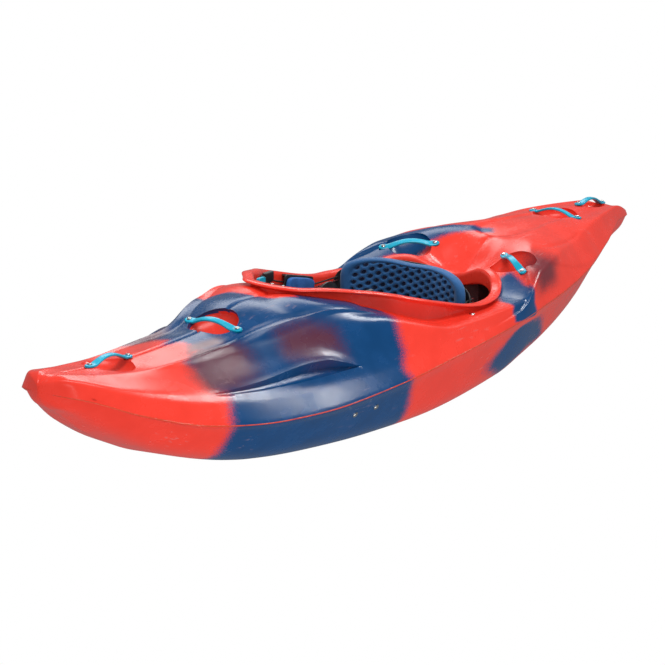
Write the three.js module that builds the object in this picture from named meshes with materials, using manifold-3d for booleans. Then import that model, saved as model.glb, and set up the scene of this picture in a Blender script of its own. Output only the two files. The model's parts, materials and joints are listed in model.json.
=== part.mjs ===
// A whitewater kayak in millimetres: +X towards the bow, +Y to port, +Z up, keel bottom at z = 0.
// One moulded shell with its cockpit rim, six grab handles over scoops, a seat, a hinged backband,
// sliding thigh braces, a sliding footrest, foam pillars and a screwed drain plug.
import * as THREE from 'three';
import { mergeVertices } from 'three/addons/utils/BufferGeometryUtils.js';
import Module from 'manifold-3d';

const wasm = await Module();
wasm.setup();

// Driving dimensions
const gap = 0.3;
const overrun = 4;
const leastEnd = 1;
const probe = 6;
const hull = { length: 2720, halfBeam: 330, deckHeight: 390, wall: 7, keelFlat: 2 };
const cockpit = {
  length: 893, halfWidth: 263, lip: 30, lipDrop: 7, riser: 9, leastRise: 20, foot: 20, lift: 9,
};
const cockpitFrontShare = 0.351;
const grip = { boltSpacing: 142, ear: 13, width: 21, thick: 7, rise: 15, sink: 2.5, bevel: 1.5 };
const scoop = { along: 62, across: 68, depth: 34 };
const sternScoop = { along: 62, across: 36, depth: 26 };
const bolt = { head: 6, headHeight: 3, domeShare: 0.7, shank: 3, nut: 5.5, nutHeight: 4, spot: 8 };
const band = {
  halfWidth: 198, height: 144, shell: 4, pad: 24, depth: 52, bottom: 188, x: -205, crown: 4, inset: 16,
};
const pivot = { x: -118, z: 186, y: 221, armWidth: 24, armThick: 4, radius: 4 };
const bracket = { thick: 4, width: 44, flange: 58, boltX: -70, boltY: 262 };
const seat = { x: -20, length: 360, width: 312, sheet: 5, ear: 60, earTop: 286, front: 74, rear: 104 };
const seatPad = { length: 300, width: 280, thick: 20, crown: 7 };
const hipPad = { length: 170, height: 130, thick: 26, crown: 6, z: 195 };
const rail = { y: 95, width: 18, height: 14, skid: 12, length: 520, x: -30 };
const brace = {
  x: 28, length: 134, height: 60, corner: 10, web: 4, y: 232.7, depth: 19, slope: 0.24, drop: 34,
};
const bracePad = { length: 126, height: 52, thick: 15, crown: 4 };
const footrest = {
  x: 690, halfWidth: 174, low: 92, high: 238, thick: 6, corner: 30, foam: 18, foamInset: 12, crown: 3,
  shoe: 44,
};
const footRail = {
  y: 186, thick: 4, height: 22, z: 130, tabLength: 130, tabX: 462, boltPitch: 85, overlap: 16,
  bendX: 560, endX: 835,
};
const pillar = { thick: 70, bowFrom: 862, bowTo: 1000, sternFrom: -480, sternTo: -1010 };
const plug = {
  x: -1075, z: 268, radius: 13, head: 5, chamfer: 1.5, slot: 2.5, neck: 8, neckLength: 10, seal: 2,
  recess: 2.5,
};
const cleat = { share: 0.248, length: 44, height: 24, thick: 14, foot: 5, pitch: 28, screw: 2, screwHead: 4 };
const cord = { radius: 2.2, spacing: 10, knot: 4.4 };
const tab = { length: 30, width: 20, thick: 8, corner: 5, grip: 7 };

// Shape of the hull: stations along the half length, widths over the half beam, heights over the deck height
const stationShares = [
  -1, -0.88, -0.72, -0.56, -0.43, -0.32, -0.2, 0.05, 0.25, 0.42, 0.57, 0.75, 0.88, 0.96, 1,
];
const widthShares = {
  bottom: [0.012, 0.1, 0.265, 0.42, 0.53, 0.605, 0.68, 0.745, 0.72, 0.67, 0.595, 0.455, 0.305, 0.165,
    0.008],
  parting: [0.035, 0.225, 0.475, 0.675, 0.79, 0.865, 0.935, 1, 0.985, 0.96, 0.885, 0.72, 0.5, 0.28, 0.014],
  shoulder: [0.03, 0.215, 0.41, 0.575, 0.72, 0.83, 0.91, 0.955, 0.865, 0.78, 0.7, 0.595, 0.435, 0.225,
    0.014],
  edge: [0.02, 0.19, 0.355, 0.5, 0.665, 0.795, 0.885, 0.915, 0.72, 0.49, 0.335, 0.285, 0.2, 0.1, 0.01],
};
const heightShares = {
  keel: [0.62, 0.41, 0.23, 0.113, 0.051, 0.02, 0.005, 0, 0.02, 0.06, 0.126, 0.303, 0.528, 0.723, 0.89],
  bottom: [0.63, 0.53, 0.345, 0.205, 0.13, 0.083, 0.04, 0.018, 0.047, 0.095, 0.158, 0.33, 0.56, 0.74,
    0.895],
  parting: [0.655, 0.69, 0.655, 0.6, 0.57, 0.555, 0.545, 0.51, 0.465, 0.455, 0.475, 0.56, 0.7, 0.82, 0.91],
  shoulder: [0.66, 0.73, 0.73, 0.725, 0.715, 0.68, 0.61, 0.585, 0.587, 0.597, 0.63, 0.72, 0.833, 0.93,
    0.985],
  edge: [0.665, 0.8, 0.82, 0.795, 0.81, 0.79, 0.65, 0.68, 0.85, 0.9, 0.845, 0.855, 0.905, 0.955, 0.97],
  crown: [0.665, 0.79, 0.82, 0.86, 0.885, 0.82, 0.64, 0.7, 0.9, 0.975, 0.865, 0.86, 0.905, 0.945, 0.96],
  centre: [0.66, 0.805, 0.86, 0.88, 0.82, 0.56, 0.55, 0.7, 0.9, 1.01, 0.905, 0.89, 0.918, 0.95, 0.965],
};
const creaseShare = 0.22;
const creaseLift = 12;
const crownPlaceShare = 0.55;
const roundShares = { bottom: 0.9, crease: 0.25, parting: 0.25, shoulder: 0.55, edge: 0.35, crown: 0.9 };
const endSqueezeShare = 0.85;
const cavityEndShare = 0.94;
const stationCount = 34;
const sectionCounts = [3, 2, 2, 2, 2, 2];
const fineCounts = [7, 3, 3, 5, 5, 7];

// Shape of the cockpit: places along its length from the front, half widths and rim heights
const cockpitShares = [0, 0.02, 0.07, 0.14, 0.2, 0.25, 0.31, 0.41, 0.68, 0.89, 1];
const cockpitWidthShares = [0, 0.31, 0.45, 0.625, 0.71, 0.79, 0.91, 1, 1, 0.77, 0];
const rimPlaceShares = [0, 0.09, 0.2, 0.4, 0.66, 0.84, 1];
const rimHeightShares = [1.03, 1.015, 0.97, 0.85, 0.705, 0.665, 0.635];
const rimStepCount = 17;

// Facet counts of round and soft pieces
const roundCount = 6;
const bowlCounts = [12, 6];
const arcCount = 5;
const plugCount = 16;
const padCount = 8;
const sheetCount = 18;
const cordSides = 6;

// Where each grab handle stands: share of the half length, distance to port, and heading from the bow
const handlePlaces = {
  bow_grab_handle: { share: 0.8125, y: 0, heading: 0, bowl: scoop },
  foredeck_grab_handle: { share: 0.514, y: 0, heading: 90, bowl: scoop },
  side_grab_handle_left: { share: -0.322, y: 166, heading: 51, bowl: scoop },
  side_grab_handle_right: { share: -0.322, y: -166, heading: -51, bowl: scoop },
  aft_grab_handle: { share: -0.7, y: 0, heading: 90, bowl: scoop },
  stern_grab_handle: { share: -0.85, y: 0, heading: 0, bowl: sternScoop },
};

const colours = {
  shell: 0xe8402f,
  teal: 0x12a5c8,
  blue: 0x0a4f9c,
  black: 0x2c2a2e,
  steel: 0xb9bcc2,
  aluminium: 0xa4a8ad,
  foam: 0x3a3d42,
  webbing: 0x8f1f25,
  seal: 0x1c1c1e,
};

const material = (colour, roughness, metalness = 0) =>
  new THREE.MeshStandardMaterial({ color: colour, roughness, metalness });
const finishes = {
  shell: material(colours.shell, 0.38),
  grip: material(colours.teal, 0.35),
  foam: material(colours.foam, 0.9),
  pad: material(colours.blue, 0.75),
  plastic: material(colours.black, 0.55),
  steel: material(colours.steel, 0.3, 1),
  aluminium: material(colours.aluminium, 0.4, 1),
  cord: material(colours.webbing, 0.8),
  seal: material(colours.seal, 0.7),
};

const kayak = new THREE.Group();

// Adds one named mesh to the kayak.
function place(name, geometry, finish) {
  geometry.computeVertexNormals();
  const mesh = new THREE.Mesh(geometry, finish);
  mesh.name = name;
  kayak.add(mesh);
  return mesh;
}

// Turns a closed geometry into a solid, after an optional placement.
function solid(geometry, matrix = null) {
  const bare = geometry.clone();
  bare.deleteAttribute('normal');
  bare.deleteAttribute('uv');
  if (matrix) bare.applyMatrix4(matrix);
  const merged = mergeVertices(bare, 1e-3);
  const vertProperties = new Float32Array(merged.attributes.position.array);
  const triVerts = new Uint32Array(merged.index.array);
  return new wasm.Manifold(new wasm.Mesh({ numProp: 3, vertProperties, triVerts }));
}

// Turns a solid back into a geometry.
function geometryOf(manifold) {
  const mesh = manifold.getMesh();
  const geometry = new THREE.BufferGeometry();
  geometry.setAttribute('position', new THREE.BufferAttribute(new Float32Array(mesh.vertProperties), 3));
  geometry.setIndex(new THREE.BufferAttribute(new Uint32Array(mesh.triVerts), 1));
  return geometry;
}

const shift = (x, y, z) => new THREE.Matrix4().makeTranslation(x, y, z);
const box = (x, y, z, sx, sy, sz) => solid(new THREE.BoxGeometry(sx, sy, sz), shift(x, y, z));

// A matrix with its own X along one direction and its own Z near another.
function frameAt(origin, along, up) {
  const x = along.clone().normalize();
  const y = new THREE.Vector3().crossVectors(up, x).normalize();
  const z = new THREE.Vector3().crossVectors(x, y);
  return new THREE.Matrix4().makeBasis(x, y, z).setPosition(origin);
}

// Monotone cubic interpolation through a table of shares.
function through(xs, ys, x) {
  const n = xs.length;
  const at = Math.min(Math.max(x, xs[0]), xs[n - 1]);
  let i = 0;
  while (i < n - 2 && at > xs[i + 1]) i += 1;
  const rise = (k) => (ys[k + 1] - ys[k]) / (xs[k + 1] - xs[k]);
  const slope = (k) => {
    if (k === 0) return rise(0);
    if (k === n - 1) return rise(n - 2);
    const a = rise(k - 1);
    const b = rise(k);
    if (a * b <= 0) return 0;
    const wa = 2 * (xs[k + 1] - xs[k]) + (xs[k] - xs[k - 1]);
    const wb = (xs[k + 1] - xs[k]) + 2 * (xs[k] - xs[k - 1]);
    return (wa + wb) / (wa / a + wb / b);
  };
  const h = xs[i + 1] - xs[i];
  const u = (at - xs[i]) / h;
  const square = u * u;
  const cube = square * u;
  return ys[i] * (2 * cube - 3 * square + 1) + ys[i + 1] * (3 * square - 2 * cube)
    + slope(i) * h * (cube - 2 * square + u) + slope(i + 1) * h * (cube - square);
}

// Interpolates a width through its squares, so that an end closes as a round one.
const throughRound = (xs, ys, x) => Math.sqrt(Math.max(through(xs, ys.map((y) => y * y), x), 0));

const halfLength = hull.length / 2;

// The corner points of the half section at a share of the half length, from the keel to the deck centre.
function corners(share) {
  const width = (name) => hull.halfBeam * throughRound(stationShares, widthShares[name], share);
  const height = (name) => hull.deckHeight * through(stationShares, heightShares[name], share);
  const bottom = new THREE.Vector2(width('bottom'), height('bottom'));
  const parting = new THREE.Vector2(width('parting'), height('parting'));
  const crease = parting.clone().lerp(bottom, creaseShare);
  crease.y += creaseLift * Math.min(parting.x / (hull.halfBeam * roundShares.crease), 1);
  const edge = new THREE.Vector2(width('edge'), height('edge'));
  return [
    new THREE.Vector2(0, height('keel')),
    bottom,
    crease,
    parting,
    new THREE.Vector2(width('shoulder'), height('shoulder')),
    edge,
    new THREE.Vector2(edge.x * crownPlaceShare, height('crown')),
    new THREE.Vector2(0, height('centre')),
  ];
}

// Lowers the keel by the depth of the flat that the skins are trimmed to.
const onFlat = (p) => new THREE.Vector2(p.x, p.y - hull.keelFlat);

// Draws a section's corner points in by a distance, each along the mean of its sides' normals.
function drawnIn(points, inset) {
  const last = points.length - 1;
  return points.map((p, k) => {
    if (k === 0) return new THREE.Vector2(0, p.y + inset);
    if (k === last) return new THREE.Vector2(0, p.y - inset);
    const before = p.clone().sub(points[k - 1]).normalize();
    const after = points[k + 1].clone().sub(p).normalize();
    const along = before.clone().add(after).normalize();
    const stretch = inset / Math.max(along.dot(before), 1 / 2);
    return new THREE.Vector2(Math.max(p.x - along.y * stretch, leastEnd), p.y + along.x * stretch);
  });
}

// The half section as a line of points, each corner rounded by its own share of its sides.
function halfSection(share, stepCounts, inset = 0) {
  const points = inset ? drawnIn(corners(share), inset) : corners(share);
  const rounding = [roundShares.bottom, roundShares.crease, roundShares.parting, roundShares.shoulder,
    roundShares.edge, roundShares.crown];
  const line = [points[0]];
  rounding.forEach((amount, k) => {
    const corner = points[k + 1];
    const start = corner.clone().lerp(points[k], amount / 2);
    const end = corner.clone().lerp(points[k + 2], amount / 2);
    const count = stepCounts[k];
    for (let i = 0; i < count; i += 1) {
      const u = count === 1 ? 1 / 2 : i / (count - 1);
      line.push(start.clone().lerp(corner, u).lerp(corner.clone().lerp(end, u), u));
    }
  });
  line.push(points[points.length - 1]);
  return line.map(onFlat);
}

// Stations crowd towards the ends, where the hull closes.
const squeeze = Math.PI / 2 * endSqueezeShare;
const stationShareAt = (u) => Math.sin(u * squeeze) / Math.sin(squeeze);

// A closed skin from rings of points, one ring for each station, with a fan or a shared line at each end.
function skin(rings) {
  const positions = [];
  const index = [];
  const size = rings[0].length;
  rings.forEach((ring) => ring.forEach((p) => positions.push(p.x, p.y, p.z)));
  for (let i = 0; i + 1 < rings.length; i += 1) {
    for (let j = 0; j < size; j += 1) {
      const a = i * size + j;
      const b = i * size + (j + 1) % size;
      index.push(a, b, a + size, b, b + size, a + size);
    }
  }
  [0, rings.length - 1].forEach((i) => {
    const middle = rings[i].reduce((sum, p) => sum.add(p), new THREE.Vector3()).divideScalar(size);
    const hub = positions.length / 3;
    positions.push(middle.x, middle.y, middle.z);
    for (let j = 0; j < size; j += 1) {
      const a = i * size + j;
      const b = i * size + (j + 1) % size;
      if (i === 0) index.push(hub, b, a);
      else index.push(hub, a, b);
    }
  });
  const geometry = new THREE.BufferGeometry();
  geometry.setAttribute('position', new THREE.BufferAttribute(new Float32Array(positions), 3));
  geometry.setIndex(index);
  return geometry;
}

// Mirrors a half section line to a whole ring at one station.
function ringAt(x, line) {
  const near = line.map((p) => new THREE.Vector3(x, p.x, p.y));
  const far = line.slice(1, -1).reverse().map((p) => new THREE.Vector3(x, -p.x, p.y));
  return near.concat(far);
}

// A closed skin along the hull between two end shares, its sections drawn in by an inset.
function hullSkin(endShare, inset) {
  const rings = [];
  for (let i = 0; i <= stationCount; i += 1) {
    const share = stationShareAt(2 * i / stationCount - 1);
    if (Math.abs(share) > endShare) continue;
    const line = halfSection(share, sectionCounts, inset);
    const last = line.length - 1;
    const halfWidth = (p, k) => (k === 0 || k === last ? 0 : Math.max(p.x, leastEnd));
    const wide = line.map((p, k) => new THREE.Vector2(halfWidth(p, k), p.y));
    rings.push(ringAt(share * halfLength, wide));
  }
  return outwardSolid(skin(rings)).trimByPlane([0, 0, 1], inset);
}

// The height of the deck above a point of the plan.
function deckHeightAt(x, y) {
  const line = halfSection(x / halfLength, fineCounts);
  const side = Math.abs(y);
  for (let k = line.length - 1; k > 0; k -= 1) {
    const a = line[k];
    const b = line[k - 1];
    const run = Math.max(b.x - a.x, Number.EPSILON);
    if (side >= a.x && side <= b.x) return a.y + (b.y - a.y) * (side - a.x) / run;
  }
  return line[1 + fineCounts[0] + fineCounts[1]].y;
}

// The half width of the hull below the parting line at a height, and above it when asked.
function sideAt(x, z, above = false) {
  const line = halfSection(x / halfLength, fineCounts);
  const middle = 1 + fineCounts[0] + fineCounts[1] + 1;
  const part = above ? line.slice(middle) : line.slice(0, middle + 1);
  for (let k = 0; k + 1 < part.length; k += 1) {
    const a = part[k];
    const b = part[k + 1];
    if ((z - a.y) * (z - b.y) <= 0 && a.y !== b.y) return a.x + (b.x - a.x) * (z - a.y) / (b.y - a.y);
  }
  return part[above ? 0 : part.length - 1].x;
}

// The outward normal of the deck above a point of the plan.
function deckNormal(x, y) {
  const along = (deckHeightAt(x + probe, y) - deckHeightAt(x - probe, y)) / (2 * probe);
  const across = (deckHeightAt(x, y + probe) - deckHeightAt(x, y - probe)) / (2 * probe);
  return new THREE.Vector3(-along, -across, 1).normalize();
}

// Cockpit plan: the half width at a share of the length, and the same drawn in by a distance.
const cockpitFront = cockpitFrontShare * halfLength;
const cockpitWidth = (t) => cockpit.halfWidth * throughRound(cockpitShares, cockpitWidthShares, t);

// Points of the rim's outer line from the front round by port to the front again, none on the keel line.
function rimLine(count) {
  const side = [];
  for (let i = 0; i < count; i += 1) {
    const t = (1 - Math.cos(Math.PI * (i + 1 / 2) / count)) / 2;
    side.push({ x: cockpitFront - cockpit.length * t, y: cockpitWidth(t), t });
  }
  const back = side.slice().reverse().map((p) => ({ x: p.x, y: -p.y, t: p.t }));
  return side.concat(back);
}

// The outward direction in plan at each point of a closed line.
function outwardOf(line) {
  return line.map((p, k) => {
    const before = line[(k + line.length - 1) % line.length];
    const after = line[(k + 1) % line.length];
    return new THREE.Vector2(after.y - before.y, before.x - after.x).normalize();
  });
}

const rimTop = (p) => Math.max(
  hull.deckHeight * through(rimPlaceShares, rimHeightShares, p.t),
  deckHeightAt(p.x, p.y) + cockpit.leastRise,
);

// The rim and its riser as one closed ring round the opening.
function rimRing() {
  const line = rimLine(rimStepCount);
  const outward = outwardOf(line);
  const at = (k, out, z) => new THREE.Vector3(line[k].x + outward[k].x * out,
    line[k].y + outward[k].y * out, z);
  const rings = line.map((p, k) => {
    const top = rimTop(p);
    const seatX = p.x - outward[k].x * (cockpit.lip - cockpit.riser);
    const seatY = p.y - outward[k].y * (cockpit.lip - cockpit.riser);
    const deck = deckHeightAt(seatX, seatY);
    const low = deck - hull.wall / 2;
    const under = deck - hull.wall - gap;
    const inner = -cockpit.lip;
    const wallOut = cockpit.riser - cockpit.lip;
    const waist = Math.max((top + deck) / 2, top - cockpit.lipDrop * 2);
    return [
      at(k, inner, under), at(k, inner, top - gap), at(k, -cockpit.lip / 2, top),
      at(k, -cockpit.lipDrop / 2, top - gap),
      at(k, 0, top - cockpit.lipDrop / 2), at(k, -cockpit.lipDrop / 2, top - cockpit.lipDrop),
      at(k, wallOut, waist),
      at(k, wallOut, deck + cockpit.lift), at(k, wallOut + cockpit.foot / 2, deck + cockpit.lift / 4),
      at(k, wallOut + cockpit.foot, low),
    ];
  });
  return loop(rings);
}

// A closed skin from rings that follow a closed line.
function loop(rings) {
  const size = rings[0].length;
  const positions = [];
  const index = [];
  rings.forEach((ring) => ring.forEach((p) => positions.push(p.x, p.y, p.z)));
  rings.forEach((ring, i) => {
    const next = ((i + 1) % rings.length) * size;
    for (let j = 0; j < size; j += 1) {
      const a = i * size + j;
      const b = i * size + (j + 1) % size;
      const c = next + j;
      const d = next + (j + 1) % size;
      index.push(a, b, c, b, d, c);
    }
  });
  const geometry = new THREE.BufferGeometry();
  geometry.setAttribute('position', new THREE.BufferAttribute(new Float32Array(positions), 3));
  geometry.setIndex(index);
  return geometry;
}

// Makes sure that a closed solid has its faces outwards.
function outwardSolid(geometry) {
  const made = solid(geometry);
  if (made.volume() >= 0) return made;
  const flipped = geometry.clone();
  const index = Array.from(flipped.index.array);
  for (let i = 0; i < index.length; i += 3) {
    const keep = index[i + 1];
    index[i + 1] = index[i + 2];
    index[i + 2] = keep;
  }
  flipped.setIndex(index);
  return solid(flipped);
}

// The prism that opens the cockpit.
function cockpitPrism() {
  const line = rimLine(rimStepCount - 1);
  const outward = outwardOf(line);
  const shape = new THREE.Shape(line.map((p, k) => new THREE.Vector2(
    p.x - outward[k].x * (cockpit.lip - cockpit.riser / 2),
    p.y - outward[k].y * (cockpit.lip - cockpit.riser / 2),
  )));
  const low = hull.deckHeight / 2;
  const geometry = new THREE.ExtrudeGeometry(shape, { depth: hull.deckHeight, bevelEnabled: false });
  return solid(geometry, shift(0, 0, low));
}

// The place of a grab handle: its seat plane, sunk a little into the deck.
function handleFrame({ share, y, heading }) {
  const angle = THREE.MathUtils.degToRad(heading);
  const x = share * halfLength;
  const dx = Math.cos(angle) * grip.boltSpacing / 2;
  const dy = Math.sin(angle) * grip.boltSpacing / 2;
  const ends = [-1, 1].map((side) => new THREE.Vector3(
    x + side * dx,
    y + side * dy,
    deckHeightAt(x + side * dx, y + side * dy),
  ));
  const normal = deckNormal(ends[0].x, ends[0].y).add(deckNormal(ends[1].x, ends[1].y)).normalize();
  const along = ends[1].clone().sub(ends[0]).normalize();
  const up = normal.clone().addScaledVector(along, -normal.dot(along)).normalize();
  const origin = ends[0].clone().add(ends[1]).divideScalar(2).addScaledVector(up, -grip.sink);
  return frameAt(origin, along, up);
}

// The side outline of a grab handle: two flat ears and a low arch between them.
function gripShape() {
  const half = grip.boltSpacing / 2;
  const end = half + grip.ear;
  const inner = half - grip.ear;
  const shape = new THREE.Shape();
  shape.moveTo(-end, gap);
  shape.lineTo(-inner, gap);
  shape.bezierCurveTo(-inner + grip.ear, gap, -inner + grip.ear, grip.rise - grip.thick / 2, 0, grip.rise);
  shape.bezierCurveTo(inner - grip.ear, grip.rise - grip.thick / 2, inner - grip.ear, gap, inner, gap);
  shape.lineTo(end, gap);
  shape.lineTo(end, grip.thick);
  shape.lineTo(inner, grip.thick);
  shape.bezierCurveTo(inner - grip.ear, grip.thick, inner - 2 * grip.ear, grip.rise + grip.thick, 0,
    grip.rise + grip.thick);
  shape.bezierCurveTo(2 * grip.ear - inner, grip.rise + grip.thick, grip.ear - inner, grip.thick, -inner,
    grip.thick);
  shape.lineTo(-end, grip.thick);
  return shape;
}

const upright = new THREE.Matrix4().makeRotationX(Math.PI / 2);

function gripSolid() {
  const depth = grip.width - 2 * grip.bevel;
  const geometry = new THREE.ExtrudeGeometry(gripShape(), {
    depth, curveSegments: arcCount, bevelEnabled: true, bevelThickness: grip.bevel, bevelSize: grip.bevel,
    bevelOffset: -grip.bevel, bevelSegments: 1,
  });
  return solid(geometry, new THREE.Matrix4().multiplyMatrices(upright, shift(0, 0, -depth / 2)));
}

// A round solid of revolution about Z from a profile of radius and height.
const turned = (profile, count = roundCount) =>
  new THREE.LatheGeometry(profile.map(([r, z]) => new THREE.Vector2(r, z)), count).rotateX(Math.PI / 2);

// The radius of a many-sided hole that a round piece of as many sides turns in freely.
const turningRadius = (radius, count) => (radius + gap) / Math.cos(Math.PI / count);

// A round drill along Z from a low to a high end.
const drill = (radius, low, high, count = roundCount) =>
  turned([[0, low], [radius, low], [radius, high], [0, high]], count);

// A through bolt with a low domed head above and a nut below its grip.
const boltProfile = (top, bottom) => [
  [0, bottom - bolt.nutHeight], [bolt.nut, bottom - bolt.nutHeight], [bolt.nut, bottom],
  [bolt.shank, bottom], [bolt.shank, top], [bolt.head, top],
  [bolt.head * bolt.domeShare, top + bolt.headHeight], [0, top + bolt.headHeight],
];

// The cuts that one bolt needs in the shell: its hole, and a spot face for its nut.
function boltCuts(matrix, top, under) {
  const hole = solid(drill(bolt.shank + gap, under - overrun, top), matrix);
  const spot = solid(drill(bolt.spot, under - hull.wall - 2 * overrun, under), matrix);
  return hole.add(spot);
}

const gripUnder = grip.sink - hull.wall;
const cuts = [];
const bowls = [];
const grownBowls = [];
const clearBowls = [];

// Builds one grab handle with its two bolts and notes the cuts that the shell needs.
function grabHandle(name, spot) {
  const frame = handleFrame(spot);
  const half = grip.boltSpacing / 2;
  let body = gripSolid();
  [-1, 1].forEach((side, k) => {
    const matrix = new THREE.Matrix4().multiplyMatrices(frame, shift(side * half, 0, 0));
    body = body.subtract(solid(drill(bolt.shank + gap, -overrun, grip.thick + overrun),
      shift(side * half, 0, 0)));
    cuts.push(boltCuts(matrix, overrun, gripUnder));
    const pocketLength = 2 * (grip.ear + gap + overrun);
    const pocketHeight = grip.thick + 2 * overrun;
    const pocket = box(side * (half - overrun), 0, pocketHeight / 2, pocketLength, grip.width + 2 * gap,
      pocketHeight);
    cuts.push(pocket.transform(frame.elements));
    const made = turned(boltProfile(grip.thick + gap, gripUnder - gap));
    place(`${name}_bolt_${k + 1}`, made.applyMatrix4(matrix), finishes.steel);
  });
  place(name, geometryOf(body.transform(frame.elements)), finishes.grip);
  const bowl = (extra) => solid(
    new THREE.SphereGeometry(1, ...bowlCounts).scale(spot.bowl.along + extra, spot.bowl.across + extra,
      spot.bowl.depth + extra),
    new THREE.Matrix4().multiplyMatrices(frame, shift(0, 0, grip.sink)),
  );
  bowls.push(bowl(0));
  grownBowls.push(bowl(hull.wall));
  clearBowls.push(bowl(hull.wall + gap));
  return frame;
}

Object.entries(handlePlaces).forEach(([name, spot]) => grabHandle(name, spot));

// A soft pad: rings of a rounded oblong, each with its spread and its share of the rise, and a crowned face.
const padRings = [[0.96, 0], [1, 0.3], [0.985, 0.75], [0.93, 1], [0.6, 1], [0.25, 1]];
const padSquareness = 5;

function crownedPad(length, width, thick, crown, shape = (p) => p) {
  const oblong = (spread) => Array.from({ length: 2 * padCount }, (_, i) => {
    const angle = Math.PI * i / padCount;
    const c = Math.cos(angle);
    const s = Math.sin(angle);
    const reach = (Math.abs(c) ** padSquareness + Math.abs(s) ** padSquareness) ** (-1 / padSquareness);
    return [length / 2 * c * reach * spread, width / 2 * s * reach * spread];
  });
  const rings = padRings.map(([spread, rise]) => {
    const dome = rise === 1 ? crown * (1 - spread * spread) : 0;
    const z = (thick - crown) * rise + dome;
    return oblong(spread).map(([x, y]) => shape(new THREE.Vector3(x, y, z)));
  });
  const geometry = skin(rings);
  const hubs = rings.length * rings[0].length;
  [0, thick].forEach((z, k) => {
    const p = shape(new THREE.Vector3(0, 0, z));
    geometry.attributes.position.setXYZ(hubs + k, p.x, p.y, p.z);
  });
  return outwardSolid(geometry);
}

// The mirror image of a solid on the other side of the keel line.
const mirrored = (piece) => piece.mirror([0, 1, 0]);

// Adds a port piece and its mirror image.
function placePair(name, piece, finish) {
  place(`${name}_left`, geometryOf(piece), finish);
  place(`${name}_right`, geometryOf(mirrored(piece)), finish);
}

// Notes the cuts of a port piece and of its mirror image.
const cutPair = (cut) => cuts.push(cut, mirrored(cut));

const product = (...matrices) => matrices.reduce((all, next) => all.clone().multiply(next));
const moved = (piece, matrix) => piece.transform(matrix.elements);

// A flat plate drawn in the side view, from one distance to port to another.
function sidePlate(shape, from, to) {
  const settings = { depth: to - from, bevelEnabled: false, curveSegments: arcCount };
  return solid(new THREE.ExtrudeGeometry(shape, settings), product(shift(0, to, 0), upright));
}

// A flat plate drawn in plan, from one height to another.
function levelPlate(shape, from, to) {
  const settings = { depth: to - from, bevelEnabled: false, curveSegments: arcCount };
  return solid(new THREE.ExtrudeGeometry(shape, settings), shift(0, 0, from));
}

// A bar with round ends between two points of the side view.
function linkShape(from, to, width) {
  const turn = Math.atan2(to.y - from.y, to.x - from.x);
  const right = Math.PI / 2;
  const shape = new THREE.Shape();
  shape.absarc(to.x, to.y, width / 2, turn - right, turn + right);
  shape.absarc(from.x, from.y, width / 2, turn + right, turn + 3 * right);
  return shape;
}

// An oblong with round corners about a point.
function oblongShape(x, y, width, height, radius) {
  const right = Math.PI / 2;
  const dx = width / 2 - radius;
  const dy = height / 2 - radius;
  const shape = new THREE.Shape();
  shape.absarc(x + dx, y - dy, radius, -right, 0);
  shape.absarc(x + dx, y + dy, radius, 0, right);
  shape.absarc(x - dx, y + dy, radius, right, 2 * right);
  shape.absarc(x - dx, y - dy, radius, 2 * right, 3 * right);
  return shape;
}

// Matrices that turn a piece's own Z to port, and a pad's face inboard or aft.
const alongY = new THREE.Matrix4().makeRotationX(-Math.PI / 2);
const axisMatrix = (x, y, z) => new THREE.Matrix4().makeBasis(new THREE.Vector3(...x),
  new THREE.Vector3(...y), new THREE.Vector3(...z));
const facingInboard = axisMatrix([1, 0, 0], [0, 0, 1], [0, -1, 0]);
const facingAft = axisMatrix([0, -1, 0], [0, 0, 1], [-1, 0, 0]);
const facingForward = axisMatrix([0, 1, 0], [0, 0, 1], [1, 0, 0]);

// The bare shell: outer skin and rim, hollowed and opened, before the scoops and the fasteners are cut.
let cavity = hullSkin(cavityEndShare, hull.wall);
grownBowls.forEach((bowl) => {
  cavity = cavity.subtract(bowl);
});
const bareShell = hullSkin(1, 0).subtract(cavity).subtract(cockpitPrism()).add(outwardSolid(rimRing()));

// How far the shell reaches into a column, in the column's own frame.
function shellReach(column, matrix = new THREE.Matrix4()) {
  const part = bareShell.intersect(moved(column, matrix));
  return moved(part, matrix.clone().invert()).boundingBox();
}

const low = hull.deckHeight / 2;
const lowColumn = (x, y, sx, sy) => box(x, y, 0, sx, sy, 2 * low);
const highColumn = (x, y, sx, sy) => box(x, y, 2 * low, sx, sy, 2 * low);

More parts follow.
